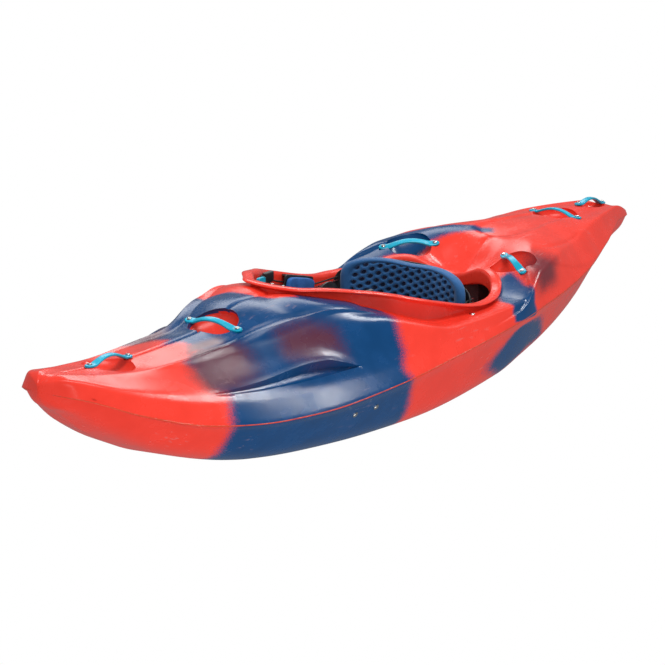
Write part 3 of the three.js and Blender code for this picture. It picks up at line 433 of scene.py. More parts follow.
@dataclass(frozen=True)
class HullForm:
    """The hull's outer form: sections whose girth runs from 0 on the keel to 7 on the deck's middle."""

    half_length: float = 1.36
    half_beam: float = 0.33
    deck_height: float = 0.39
    wall: float = 0.007
    keel_flat: float = 0.002
    crease_share: float = 0.22
    crease_lift: float = 0.012
    crown_share: float = 0.55
    rounding: tuple[float, ...] = (0.9, 0.25, 0.25, 0.55, 0.35, 0.9)
    squeeze: float = 0.85
    least_width: float = 0.001
    nose: float = 0.045
    ease: float = 0.55

    def corners(self, shares: np.ndarray) -> np.ndarray:
        """The corner points of sections.

        Args:
            shares: Places along the hull as shares of the half length.

        Returns:
            An array of sections by eight corners by width and height.
        """
        width = {
            name: self.half_beam * np.sqrt(np.maximum(through(STATIONS, np.square(row), shares), 0))
            for name, row in WIDTHS.items()
        }
        height = {name: self.deck_height * through(STATIONS, row, shares) for name, row in HEIGHTS.items()}
        none = np.zeros_like(height["keel"])
        bottom = np.stack([width["bottom"], height["bottom"]], -1)
        parting = np.stack([width["parting"], height["parting"]], -1)
        fold = parting + (bottom - parting) * self.crease_share
        fold[:, 1] += self.crease_lift * np.minimum(width["parting"] / (self.half_beam * self.rounding[1]), 1)
        return np.stack(
            [
                np.stack([none, height["keel"]], -1),
                bottom,
                fold,
                parting,
                np.stack([width["shoulder"], height["shoulder"]], -1),
                np.stack([width["edge"], height["edge"]], -1),
                np.stack([width["edge"] * self.crown_share, height["crown"]], -1),
                np.stack([none, height["centre"]], -1),
            ],
            1,
        )

    def sections(self, shares: np.ndarray, girths: np.ndarray) -> np.ndarray:
        """Points of half sections.

        Args:
            shares: Places along the hull, as shares of the half length.
            girths: One row of girths for each place.

        Returns:
            An array of sections by points by width and height.
        """
        corner = self.corners(shares)
        row = np.arange(len(shares))[:, None]
        near = np.clip(np.rint(girths).astype(int), 1, 6)
        amount = np.array(self.rounding)[near - 1]
        inside = np.abs(girths - near) <= amount / 2
        u = np.clip((girths - near) / amount + 0.5, 0, 1)[..., None]
        half = amount[..., None] / 2
        start = corner[row, near] + (corner[row, near - 1] - corner[row, near]) * half
        end = corner[row, near] + (corner[row, near + 1] - corner[row, near]) * half
        bent = (1 - u) ** 2 * start + 2 * u * (1 - u) * corner[row, near] + u**2 * end
        low = np.clip(np.floor(girths).astype(int), 0, 6)
        rest = (girths - low)[..., None]
        straight = corner[row, low] * (1 - rest) + corner[row, low + 1] * rest
        line = np.where(inside[..., None], bent, straight)
        on_top = np.clip((girths - 7 + self.ease) / self.ease, 0, 1) ** 2
        drop = (corner[:, 7, 1] - corner[:, 6, 1])[:, None] * self.ease / 2
        line[..., 1] -= on_top * drop
        line[..., 1] = np.maximum(line[..., 1] - self.keel_flat, 0)
        return self.rounded_ends(shares, line)

    def rounded_ends(self, shares: np.ndarray, line: np.ndarray) -> np.ndarray:
        """Draws the sections at both tips together, so that the tips are round.

        Args:
            shares: Places along the hull, as shares of the half length.
            line: The half sections' points.

        Returns:
            The points, drawn together near the tips.
        """
        past = np.clip((np.abs(shares) * self.half_length - self.half_length + self.nose) / self.nose, 0, 1)
        scale = np.sqrt(1 - np.square(past * 0.998))[:, None]
        middle = (line[..., 1].max(1, keepdims=True) + line[..., 1].min(1, keepdims=True)) / 2
        return np.stack([line[..., 0] * scale, middle + (line[..., 1] - middle) * scale], -1)

    def shares(self, count: int, end: float = 1.0) -> np.ndarray:
        """Places along the hull, crowding towards its ends.

        Args:
            count: How many points or places.
            end: The share of the length that is kept.

        Returns:
            The places, as shares of the half length.
        """
        angle = math.pi / 2 * self.squeeze
        made = np.sin(np.linspace(-1, 1, count) * angle) / math.sin(angle)
        return made[np.abs(made) <= end]

    def deck_height_at(self, x: float, y: float) -> float:
        """The height of the deck over a point of the plan.

        Args:
            x: The place along the hull.
            y: The distance from the middle.

        Returns:
            The height.
        """
        girths = np.linspace(7, 3, 400)[None]
        line = self.sections(np.array([x / self.half_length]), girths)[0]
        return float(np.interp(abs(y), line[:, 0], line[:, 1]))


@dataclass(frozen=True)
class Trace:
    """A line on the hull: girths at places along it, in metres from the middle."""

    places: tuple[float, ...]
    girths: tuple[float, ...]

    def at(self, x: np.ndarray) -> np.ndarray:
        """The line's girth at places along the hull."""
        return through(self.places, self.girths, x)


@dataclass(frozen=True)
class Relief:
    """The folds and channels moulded into the hull's skin."""

    ridge_foot: Trace = Trace((0.44, 0.47, 0.6, 0.8, 0.98), (4.05, 4.05, 4.03, 4.02, 4.02))
    ridge_spine: Trace = Trace(
        (0.44, 0.463, 0.519, 0.563, 0.62, 0.68, 0.787, 0.87, 0.98), (4.08, 4.09, 4.2, 4.28, 4.3, 4.28, 4.2, 4.15, 4.09)
    )
    ridge_height: Trace = Trace(
        (0.45, 0.47, 0.51, 0.57, 0.64, 0.72, 0.82, 0.98), (0, 0.005, 0.014, 0.0185, 0.0165, 0.0115, 0.0075, 0)
    )
    rail_foot: Trace = Trace(
        (-1.36, 0.2, 0.324, 0.432, 0.502, 0.571, 0.634, 0.752, 0.902, 1.0, 1.36),
        (5, 5, 5.3, 5.23, 5.1, 4.98, 4.95, 4.97, 4.95, 5, 5),
    )
    rail_crest: Trace = Trace(
        (-1.36, 0.2, 0.324, 0.485, 0.554, 0.618, 0.7, 0.81, 0.891, 1.0, 1.36),
        (5.2, 5.2, 5.34, 5.29, 5.2, 5.18, 5.28, 5.17, 5.1, 5.15, 5.2),
    )
    rail_top: Trace = Trace(
        (-1.36, 0.2, 0.351, 0.445, 0.532, 0.609, 0.7, 0.783, 0.87, 0.927, 1.1, 1.36),
        (5.45, 5.45, 5.4, 5.43, 5.45, 5.48, 5.57, 5.52, 5.38, 5.35, 5.42, 5.4),
    )
    rail_height: Trace = Trace(
        (0.27, 0.36, 0.45, 0.55, 0.65, 0.8, 0.93, 1.15), (0, 0.0035, 0.006, 0.008, 0.008, 0.0055, 0.003, 0)
    )
    hip_fold: Trace = Trace(
        (-0.44, -0.405, -0.356, -0.306, -0.246, -0.126, -0.05), (5.55, 5.33, 5.1, 4.62, 3.92, 3.72, 3.6)
    )
    hip_depth: Trace = Trace((-0.45, -0.4, -0.3, -0.15, -0.06), (0, 0.008, 0.01, 0.005, 0))
    panel_edge: Trace = Trace((-0.9, -0.783, -0.671, -0.563, -0.5), (3.0, 3.2, 3.58, 4.25, 4.8))
    groove: Trace = Trace((-0.84, -0.764, -0.663, -0.56), (4.98, 5.0, 5.15, 5.4))
    channel_half_width: Trace = Trace(
        (-1.0, -0.93, -0.8, -0.69, -0.63, -0.605, -0.597), (0.046, 0.05, 0.06, 0.072, 0.066, 0.04, 0)
    )
    channel_depth: float = 0.006
    groove_depth: float = 0.004
    panel_step: float = 0.0035
    swell: float = 0.014
    swell_middle: tuple[float, float] = (0.4, 0.1)
    swell_reach: tuple[float, float] = (0.16, 0.13)

    def rows(self, x: np.ndarray) -> np.ndarray:
        """The girths of the skin's lines, drawn to the folds so that these stay crisp.

        Args:
            x: Places along the hull, in metres.

        Returns:
            One row of girths for each place.
        """
        counts = (11, 8, 7, 12, 9, 10, 6, 6, 10, 10)
        traces = (self.ridge_foot, self.ridge_spine, self.rail_foot, self.rail_crest, self.rail_top)
        anchors = [np.full_like(x, v) for v in (0, 1, 2, 3)]
        anchors += [trace.at(x) for trace in traces]
        anchors += [np.full_like(x, v) for v in (6.1, 7)]
        parts = []
        for k, count in enumerate(counts):
            share = np.linspace(0, 1, count, endpoint=False)
            parts.append(anchors[k][:, None] * (1 - share) + anchors[k + 1][:, None] * share)
        return np.concatenate([*parts, anchors[-1][:, None]], 1)

    def heights(self, x: np.ndarray, girths: np.ndarray, line: np.ndarray) -> np.ndarray:
        """How far the skin stands out from the plain form.

        Args:
            x: Places along the hull, in metres.
            girths: One row of girths for each place.
            line: The plain half sections' points.

        Returns:
            The distances, one row for each place.
        """
        steps = np.linalg.norm(np.diff(line, axis=1), axis=-1)
        arc = np.concatenate([np.zeros((len(x), 1)), np.cumsum(steps, 1)], 1)

        def from_trace(trace: Trace) -> np.ndarray:
            """The distance round the section past a line, slanted lines counted square to themselves.

            Args:
                trace: The line.

            Returns:
                One row of distances for each place.
            """
            at = np.array([np.interp(g, row, a) for g, row, a in zip(trace.at(x), girths, arc)])
            slant = np.clip(np.gradient(at, x), -3, 3)
            return (arc - at[:, None]) / np.sqrt(1 + slant**2)[:, None]

        column = x[:, None]
        width = line[..., 0]
        out = np.zeros_like(arc)
        foot, spine = from_trace(self.ridge_foot), from_trace(self.ridge_spine)
        share = np.clip(-spine / np.maximum(foot - spine, 1e-4), 0, 1)
        hollow = np.interp(share, (0, 0.08, 0.3, 0.7, 0.95, 1), (1, 0.7, -0.36, -0.32, -0.08, 0.12))
        above, below = np.exp(-np.maximum(spine, 0) / 0.02), 0.12 * np.exp(-((foot / 0.008) ** 2))
        inside = self.ridge_height.at(x)[:, None] * smoothstep(0.45, 0.47, column) * smoothstep(0.99, 0.95, column)
        out += inside * np.where(spine > 0, above, np.where(foot < 0, below, hollow))
        low, crest, top = from_trace(self.rail_foot), from_trace(self.rail_crest), from_trace(self.rail_top)
        outer = np.clip(low / np.maximum(low - crest, 1e-4), 0, 1)
        inner = np.clip(top / np.minimum(top - crest, -1e-4), 0, 1)
        lip = -0.3 * np.exp(-((top / 0.006) ** 2))
        height = self.rail_height.at(x)[:, None] * smoothstep(0.27, 0.33, column) * smoothstep(1.16, 1.0, column)
        out += height * (np.where(crest < 0, outer, np.where(top > 0, 0, inner)) + lip * (crest > 0))
        fold = from_trace(self.hip_fold)
        hip = self.hip_depth.at(x)[:, None] * smoothstep(-0.46, -0.42, column) * smoothstep(-0.05, -0.12, column)
        swollen = np.exp(-((np.minimum(fold, 0) / 0.03) ** 2)) * 0.6
        out += hip * (swollen - smoothstep(0.0, 0.006, fold) * np.exp(-fold / 0.045) * 0.7)
        edge = from_trace(self.panel_edge)
        at_panel = smoothstep(-0.9, -0.84, column) * smoothstep(-0.48, -0.54, column)
        out += self.panel_step * at_panel * smoothstep(-0.004, 0.004, edge) * np.exp(-np.maximum(edge, 0) / 0.09)
        cut = from_trace(self.groove)
        at_groove = smoothstep(-0.85, -0.78, column) * smoothstep(-0.55, -0.6, column)
        out -= self.groove_depth * at_groove * np.exp(-((cut / 0.007) ** 2))
        half = np.maximum(self.channel_half_width.at(x), 0)[:, None] * (column < -0.597)
        fade = smoothstep(-0.96, -0.88, column)
        out -= self.channel_depth * fade * smoothstep(0.006, -0.004, width - half) * (girths > 4.5)
        (x_mid, y_mid), (x_reach, y_reach) = self.swell_middle, self.swell_reach
        away = np.hypot((column - x_mid) / x_reach, (width - y_mid) / y_reach)
        out += self.swell * smoothstep(1.0, 0.4, away) * (girths > 4.5)
        return out * smoothstep(1.32, 1.2, np.abs(column))


# ---- node helpers


@dataclass(frozen=True)
class Wiring:
    """A node tree being built, with short calls for placing and joining nodes."""

    tree: Tree

    def put(self, kind: str, inputs: dict | None = None, **settings: object) -> Node:
        """Adds a node.

        Args:
            kind: Blender's name for the node.
            inputs: Values or output sockets, by input name or number.
            settings: The node's own settings.

        Returns:
            The node.
        """
        made = self.tree.nodes.new(kind)
        for name, value in settings.items():
            setattr(made, name, value)
        for key, value in (inputs or {}).items():
            self.feed(made.inputs[key], value)
        return made

    def feed(self, socket: Socket, value: object) -> None:
        """Gives a socket a value or joins it to an output.

        Args:
            socket: The socket to fill.
            value: A value, or an output to join.
        """
        if isinstance(value, Socket):
            self.tree.links.new(value, socket)
        elif value is not None:
            socket.default_value = value

    def math(self, operation: str, a: object, b: object = None, clamp: bool = False) -> Socket:
        """A Math node's result.

        Args:
            operation: The node's operation.
            a: The first value.
            b: The second value, if the operation has one.
            clamp: Whether the result is held between 0 and 1.

        Returns:
            The result's socket.
        """
        made = self.put("ShaderNodeMath", {0: a}, operation=operation, use_clamp=clamp)
        if b is not None:
            self.feed(made.inputs[1], b)
        return made.outputs[0]

    def spread(self, value: object, low: float, high: float, to_low: float = 0.0, to_high: float = 1.0) -> Socket:
        """A value softly stepped from one range to another."""
        inputs = {"Value": value, "From Min": low, "From Max": high, "To Min": to_low, "To Max": to_high}
        return self.put("ShaderNodeMapRange", inputs, interpolation_type="SMOOTHSTEP").outputs["Result"]

    def mix(self, share: object, a: object, b: object) -> Socket:
        """A mix of two colours."""
        made = self.put("ShaderNodeMix", {0: share, 6: a, 7: b}, data_type="RGBA")
        return made.outputs[2]

    def noise(self, vector: object, scale: float, detail: float = 3, roughness: float = 0.55) -> Socket:
        """A noise texture's value."""
        inputs = {"Vector": vector, "Scale": scale, "Detail": detail, "Roughness": roughness}
        return self.put("ShaderNodeTexNoise", inputs).outputs[0]

    def attribute(self, name: str) -> Socket:
        """A number that the mesh keeps for each point."""
        return self.put("ShaderNodeAttribute", attribute_name=name).outputs["Fac"]

    def group(self, tree: Tree, inputs: dict) -> Node:
        """Places a shared group.

        Args:
            tree: The group.
            inputs: Values or output sockets, by input name.

        Returns:
            The placed group.
        """
        made = self.put("ShaderNodeGroup", node_tree=tree)
        for key, value in inputs.items():
            self.feed(made.inputs[key], value)
        return made


def rgba(colour: Colour) -> tuple[float, float, float, float]:
    """A colour with full cover."""
    return (*colour, 1.0)


def toned(colour: Colour, scale: float, lift: float = 0.0) -> tuple[float, float, float, float]:
    """A colour made lighter or darker, with full cover."""
    return rgba(tuple(min(1.0, c * scale + lift) for c in colour))


def shared_group(
    name: str,
    inputs: Sequence[tuple[str, str, object]],
    outputs: Sequence[tuple[str, str]],
    build: Callable[[Wiring, Node, Node], None],
) -> Tree:
    """Builds a shader group once and gives it back each time.

    Args:
        name: The group's name.
        inputs: Name, socket type and first value of each input.
        outputs: Name and socket type of each output.
        build: Fills the group between its input and output nodes.

    Returns:
        The group.
    """
    found = bpy.data.node_groups.get(name)
    if found:
        return found
    tree = bpy.data.node_groups.new(name, "ShaderNodeTree")
    for label, kind, value in inputs:
        socket = tree.interface.new_socket(label, in_out="INPUT", socket_type=kind)
        if value is not None:
            socket.default_value = value
    for label, kind in outputs:
        tree.interface.new_socket(label, in_out="OUTPUT", socket_type=kind)
    wiring = Wiring(tree)
    build(wiring, wiring.put("NodeGroupInput"), wiring.put("NodeGroupOutput"))
    return tree


def grain_group() -> Tree:
    """Moulded or sanded grain: a normal, and a value that varies the gloss.

    Returns:
        The group.
    """

    def build(w: Wiring, given: Node, result: Node) -> None:
        """Wires fine and broad noise into a bump.

        Args:
            w: The node tree being built.
            given: The group's input node.
            result: The group's output node.
        """
        inputs = {"Vector": given.outputs["Vector"], "Scale": given.outputs["Scale"]}
        fine = w.put("ShaderNodeTexNoise", inputs | {"Detail": 4.0})
        broad_scale = w.math("MULTIPLY", given.outputs["Scale"], 0.03)
        broad = w.put("ShaderNodeTexNoise", {"Vector": given.outputs["Vector"], "Scale": broad_scale, "Detail": 2.0})
        wave = w.math("MULTIPLY", broad.outputs[0], given.outputs["Waviness"])
        height = w.math("ADD", fine.outputs[0], wave)
        bump = w.put("ShaderNodeBump", {"Strength": 1.0, "Distance": given.outputs["Depth"], "Height": height})
        w.feed(result.inputs["Normal"], bump.outputs["Normal"])
        w.feed(result.inputs["Variation"], broad.outputs[0])

    return shared_group(
        "moulding_grain",
        [
            ("Vector", "NodeSocketVector", None),
            ("Scale", "NodeSocketFloat", 600.0),
            ("Depth", "NodeSocketFloat", 0.0002),
            ("Waviness", "NodeSocketFloat", 0.0),
        ],
        [("Normal", "NodeSocketVector"), ("Variation", "NodeSocketFloat")],
        build,
    )


def scuff_group() -> Tree:
    """Fine scratches and rubbed places, drawn out along the boat.

    Returns:
        The group.
    """

    def build(w: Wiring, given: Node, result: Node) -> None:
        """Wires drawn-out noise, kept to worn patches.

        Args:
            w: The node tree being built.
            given: The group's input node.
            result: The group's output node.
        """
        drawn = w.put("ShaderNodeMapping", {"Vector": given.outputs["Vector"], "Scale": (0.12, 1.0, 1.0)})
        inputs = {"Vector": drawn.outputs[0], "Scale": given.outputs["Scale"], "Detail": 6.0}
        lines = w.put("ShaderNodeTexNoise", inputs)
        patches = w.noise(given.outputs["Vector"], 7.0, 3)
        thin = w.spread(lines.outputs[0], 0.6, 0.68)
        where = w.spread(patches, 0.5, 0.66)
        mask = w.math("MULTIPLY", thin, where)
        w.feed(result.inputs["Mask"], w.math("MULTIPLY", mask, given.outputs["Amount"], clamp=True))

    return shared_group(
        "scuffs",
        [
            ("Vector", "NodeSocketVector", None),
            ("Scale", "NodeSocketFloat", 90.0),
            ("Amount", "NodeSocketFloat", 0.5),
        ],
        [("Mask", "NodeSocketFloat")],
        build,
    )


def weave_group() -> Tree:
    """A knitted face: crossed ribs as a normal, and painted shade between the threads.

    Returns:
        The group.
    """

    def build(w: Wiring, given: Node, result: Node) -> None:
        """Wires two crossed waves into a bump and a painted shade.

        Args:
            w: The node tree being built.
            given: The group's input node.
            result: The group's output node.
        """
        heights = []
        for direction in ("X", "Z"):
            wave = w.put(
                "ShaderNodeTexWave",
                {"Vector": given.outputs["Vector"], "Scale": given.outputs["Scale"], "Distortion": 0.6, "Detail": 1.0},
                bands_direction=direction,
            )
            heights.append(wave.outputs[1])
        height = w.math("MULTIPLY", heights[0], heights[1])
        bump = w.put("ShaderNodeBump", {"Strength": 0.7, "Distance": given.outputs["Depth"], "Height": height})
        w.feed(result.inputs["Normal"], bump.outputs["Normal"])
        w.feed(result.inputs["Shade"], w.spread(height, 0.0, 0.5, 0.72, 1.0))

    return shared_group(
        "knitted_face",
        [
            ("Vector", "NodeSocketVector", None),
            ("Scale", "NodeSocketFloat", 300.0),
            ("Depth", "NodeSocketFloat", 0.0003),
        ],
        [("Normal", "NodeSocketVector"), ("Shade", "NodeSocketFloat")],
        build,
    )


# ---- finishes


@dataclass(frozen=True)
class Finish:
    """A surface finish: its colour, gloss and grain."""

    name: str
    colour: Colour
    roughness: float = 0.5

    def material(self) -> bpy.types.Material:
        """The finish's material, made on first use.

        Returns:
            The material.
        """
        found = bpy.data.materials.get(self.name)
        if found:
            return found
        made = bpy.data.materials.new(self.name)
        made.use_nodes = True
        made.node_tree.nodes.clear()
        wiring = Wiring(made.node_tree)
        shader = wiring.put("ShaderNodeBsdfPrincipled", {"Base Color": rgba(self.colour), "Roughness": self.roughness})
        output = wiring.put("ShaderNodeOutputMaterial")
        wiring.feed(output.inputs["Surface"], shader.outputs[0])
        place = wiring.put("ShaderNodeTexCoord").outputs["Object"]
        self.paint(wiring, shader, place)
        return made

    def paint(self, w: Wiring, shader: Node, place: Socket) -> None:
        """Adds the finish's own detail to its shader."""

    def dress(self, *pieces: Piece) -> None:
        """Gives pieces this finish on all their faces.

        Args:
            pieces: The pieces to dress.
        """
        for piece in pieces:
            piece.data.materials.clear()
            piece.data.materials.append(self.material())


@dataclass(frozen=True)
class Moulding(Finish):
    """Injection-moulded plastic with a fine grain and light scuffs."""

    grain: float = 700.0
    depth: float = 0.00012
    scuffs: float = 0.3
    tone: float = 0.12

    def paint(self, w: Wiring, shader: Node, place: Socket) -> None:
        """Adds grain, tone changes and scuffs.

        Args:
            w: The node tree being built.
            shader: The main shader.
            place: The surface's own coordinates.
        """
        grain = w.group(grain_group(), {"Vector": place, "Scale": self.grain, "Depth": self.depth, "Waviness": 0.5})
        scuffs = w.group(scuff_group(), {"Vector": place, "Scale": 260.0, "Amount": self.scuffs})
        dark, light = toned(self.colour, 1 - self.tone), toned(self.colour, 1 + self.tone, 0.01)
        base = w.mix(w.spread(grain.outputs["Variation"], 0.35, 0.65), dark, light)
        w.feed(shader.inputs["Base Color"], w.mix(scuffs.outputs["Mask"], base, toned(self.colour, 0.7, 0.12)))
        rough = w.spread(grain.outputs["Variation"], 0.3, 0.7, self.roughness - 0.06, self.roughness + 0.06)
        w.feed(shader.inputs["Roughness"], w.math("ADD", rough, w.math("MULTIPLY", scuffs.outputs["Mask"], 0.2)))
        w.feed(shader.inputs["Normal"], grain.outputs["Normal"])


@dataclass(frozen=True)
class Metal(Finish):
    """Brushed or blasted metal."""

    brush: tuple[float, float, float] = (1.0, 1.0, 1.0)
    grain: float = 900.0
    depth: float = 0.00004

    def paint(self, w: Wiring, shader: Node, place: Socket) -> None:
        """Adds the brush marks and duller patches.

        Args:
            w: The node tree being built.
            shader: The main shader.
            place: The surface's own coordinates.
        """
        shader.inputs["Metallic"].default_value = 1.0
        drawn = w.put("ShaderNodeMapping", {"Vector": place, "Scale": self.brush}).outputs[0]
        grain = w.group(grain_group(), {"Vector": drawn, "Scale": self.grain, "Depth": self.depth, "Waviness": 0.3})
        patches = w.noise(place, 60.0, 4)
        dull = w.mix(w.spread(patches, 0.4, 0.7), rgba(self.colour), toned(self.colour, 0.75))
        w.feed(shader.inputs["Base Color"], dull)
        w.feed(shader.inputs["Roughness"], w.spread(patches, 0.35, 0.7, self.roughness - 0.05, self.roughness + 0.12))
        w.feed(shader.inputs["Normal"], grain.outputs["Normal"])


@dataclass(frozen=True)
class CellFoam(Finish):
    """Closed-cell foam with small open cells on its cut faces."""

    cells: float = 420.0
    depth: float = 0.0005

    def paint(self, w: Wiring, shader: Node, place: Socket) -> None:
        """Adds the cells, with painted shade in their pits, and the foam's uneven tone.

        Args:
            w: The node tree being built.
            shader: The main shader.
            place: The surface's own coordinates.
        """
        cell = w.put("ShaderNodeTexVoronoi", {"Vector": place, "Scale": self.cells, "Randomness": 1.0})
        pit = w.spread(cell.outputs["Distance"], 0.0, 0.5)
        cloud = w.noise(place, 30.0, 3)
        tone = w.mix(w.spread(cloud, 0.35, 0.65), rgba(self.colour), toned(self.colour, 1.35, 0.01))
        # Painted shade: the colour darkens towards each cell's middle, deep in its pit.
        w.feed(shader.inputs["Base Color"], w.mix(pit, toned(self.colour, 0.45), tone))
        bump = w.put("ShaderNodeBump", {"Strength": 0.6, "Distance": self.depth, "Height": pit})
        w.feed(shader.inputs["Normal"], bump.outputs["Normal"])


@dataclass(frozen=True)
class Neoprene(Finish):
    """Foam faced with a knitted skin."""

    threads: float = 260.0
    fade: float = 0.2

    def paint(self, w: Wiring, shader: Node, place: Socket) -> None:
        """Adds the knit with painted shade between its threads, and a bloom of lighter rubbed places.

        Args:
            w: The node tree being built.
            shader: The main shader.
            place: The surface's own coordinates.
        """
        weave = w.group(weave_group(), {"Vector": place, "Scale": self.threads, "Depth": 0.00025})
        cloud = w.noise(place, 14.0, 4)
        tone = w.mix(w.spread(cloud, 0.42, 0.7), rgba(self.colour), toned(self.colour, 1 + self.fade, 0.015))
        # Painted shade: the colour darkens to half between the knitted threads.
        dark = w.mix(weave.outputs["Shade"], toned(self.colour, 0.5), tone)
        w.feed(shader.inputs["Base Color"], dark)
        w.feed(shader.inputs["Roughness"], w.spread(cloud, 0.3, 0.7, self.roughness - 0.05, self.roughness + 0.08))
        w.feed(shader.inputs["Normal"], weave.outputs["Normal"])
        shader.inputs["Sheen Weight"].default_value = 0.25
        shader.inputs["Sheen Roughness"].default_value = 0.5


@dataclass(frozen=True)
class EggCrate(Neoprene):
    """The backband's moulded face, with painted shade down in its cells."""

    painted_cell_shade: Colour = (0.004, 0.018, 0.07)

    def paint(self, w: Wiring, shader: Node, place: Socket) -> None:
        """Paints shade into the cells by the depth that the mesh keeps.

        Args:
            w: The node tree being built.
            shader: The main shader.
            place: The surface's own coordinates.
        """
        super().paint(w, shader, place)
        lit = shader.inputs["Base Color"].links[0].from_socket
        # Painted shade: the colour goes towards a dark blue the deeper a cell is.
        depth = w.spread(w.attribute("cell_depth"), 0.25, 0.95)
        w.feed(shader.inputs["Base Color"], w.mix(depth, lit, rgba(self.painted_cell_shade)))


@dataclass(frozen=True)
class Braid(Finish):
    """A braided cord: slanting strands with a coloured tracer."""

    tracer: Colour = (0.5, 0.02, 0.03)
    pitch: float = 130.0

    def paint(self, w: Wiring, shader: Node, place: Socket) -> None:
        """Crosses two slanting sets of strands, by the cord's own length and turn, with painted shade between the
        strands.

        Args:
            w: The node tree being built.
            shader: The main shader.
            place: The surface's own coordinates.
        """
        along = w.math("MULTIPLY", w.attribute("cord_length"), self.pitch * 2 * math.pi)
        turn = w.math("MULTIPLY", w.attribute("cord_turn"), 2 * math.pi)
        strands = []
        for side in (1, -1):
            angle = w.math("ADD", along, w.math("MULTIPLY", turn, 2.0 * side))
            strands.append(w.math("SINE", angle))
        height = w.math("MAXIMUM", strands[0], strands[1])
        bump = w.put("ShaderNodeBump", {"Strength": 0.8, "Distance": 0.0004, "Height": height})
        marked = w.math("MULTIPLY", w.spread(strands[0], 0.55, 0.75), w.spread(w.math("SINE", turn), 0.2, 0.5))
        # Painted shade: the colour darkens where the strands dip between one another.
        dark = w.mix(w.spread(height, 0.0, 0.9), toned(self.colour, 0.35), rgba(self.colour))
        w.feed(shader.inputs["Base Color"], w.mix(marked, dark, rgba(self.tracer)))
        w.feed(shader.inputs["Normal"], bump.outputs["Normal"])


@dataclass(frozen=True)
class MarbledHull(Finish):
    """The hull's marbled plastic: red with clouds of blue, speckled where they meet."""

    blue: Colour = (0.0005, 0.046, 0.15)
    murk: Colour = (0.1, 0.015, 0.025)
    seam: Colour = (0.62, 0.06, 0.02)
    gloss: float = 0.3

    def paint(self, w: Wiring, shader: Node, place: Socket) -> None:
        """Lays the dyes, the mould's seam line, grain and scuffs.

        Args:
            w: The node tree being built.
            shader: The main shader.
            place: The surface's own coordinates.
        """
        speckle = w.noise(place, 420.0, 2, 0.75)
        clouds = w.noise(place, 14.0, 4, 0.55)
        fine = w.math("MULTIPLY", w.math("SUBTRACT", speckle, 0.5), 0.7)
        broad = w.math("MULTIPLY", w.math("SUBTRACT", clouds, 0.5), 0.3)
        ragged = w.math("ADD", fine, broad)
        blue_share = w.spread(w.math("ADD", w.attribute("dye_blue"), ragged), 0.32, 0.68)
        murk_share = w.spread(w.math("ADD", w.attribute("dye_murk"), ragged), 0.12, 0.72, 0.0, 0.9)
        red = w.mix(w.spread(clouds, 0.3, 0.7), toned(self.colour, 0.96), toned(self.colour, 1.04))
        blue = w.mix(w.spread(clouds, 0.3, 0.7), toned(self.blue, 0.9), toned(self.blue, 1.12))
        shader.inputs["Specular IOR Level"].default_value = self.gloss
        base = w.mix(murk_share, w.mix(blue_share, red, blue), rgba(self.murk))
        line = w.math("ABSOLUTE", w.attribute("seam_height"))
        on_line = w.math("MULTIPLY", w.spread(line, 0.0018, 0.0009), w.attribute("outer_skin"))
        broken = w.math("MULTIPLY", on_line, w.spread(w.noise(place, 40.0, 2), 0.3, 0.45, 0.6, 1.0))
        scuffs = w.group(scuff_group(), {"Vector": place, "Scale": 120.0, "Amount": 0.22})
        seamed = w.mix(broken, base, rgba(self.seam))
        w.feed(shader.inputs["Base Color"], w.mix(scuffs.outputs["Mask"], seamed, rgba((0.5, 0.3, 0.3))))
        grain = w.group(grain_group(), {"Vector": place, "Scale": 420.0, "Depth": 0.00014, "Waviness": 0.9})
        bumps = {"Strength": 1.0, "Distance": 0.0012, "Height": on_line, "Normal": grain.outputs["Normal"]}
        rib = w.put("ShaderNodeBump", bumps)
        rough = w.spread(clouds, 0.3, 0.7, self.roughness - 0.05, self.roughness + 0.05)
        w.feed(shader.inputs["Roughness"], w.math("ADD", rough, w.math("MULTIPLY", scuffs.outputs["Mask"], 0.25)))
        w.feed(shader.inputs["Normal"], rib.outputs["Normal"])


# ---- dyes


class Side(Enum):
    """Which half of the boat a patch of dye is on."""

    PORT = 1
    STARBOARD = -1
    BOTH = 0


class Dye(Enum):
    """What a patch of the marbled plastic is coloured with."""

    BLUE = "blue"
    RED = "red"
    MURK = "murk"


@dataclass(frozen=True)
class DyePatch:
    """A patch of dye, outlined in places along the hull and girths."""

    dye: Dye
    side: Side
    outline: tuple[tuple[float, float], ...]
    feather: float = 0.1

    def cover(self, x: np.ndarray, girth: np.ndarray, side: np.ndarray) -> np.ndarray:
        """How much of the patch's dye is at points: 0.5 on its outline, 1 well inside.

        Args:
            x: The points' places along the hull.
            girth: Their girths.
            side: 1 to port, -1 to starboard.

        Returns:
            Values from 0 to 1.
        """
        shape = np.array(self.outline) * (1.0, 0.1)
        p = np.stack([x, girth * 0.1], -1)
        inside = np.zeros(len(x), bool)
        nearest = np.full(len(x), np.inf)
        for a, b in zip(shape, np.roll(shape, -1, 0)):
            edge = b - a
            along = np.clip(((p - a) @ edge) / max(edge @ edge, 1e-12), 0, 1)
            nearest = np.minimum(nearest, np.linalg.norm(p - a - along[:, None] * edge, axis=1))
            if a[1] != b[1]:
                crosses = (p[:, 1] > min(a[1], b[1])) & (p[:, 1] <= max(a[1], b[1]))
                at = a[0] + (p[:, 1] - a[1]) * edge[0] / (b[1] - a[1])
                inside ^= crosses & (p[:, 0] < at)
        signed = np.where(inside, nearest, -nearest)
        value = np.clip(0.5 + signed / self.feather, 0, 1)
        return np.where((side * self.side.value) >= 0, value, 0)


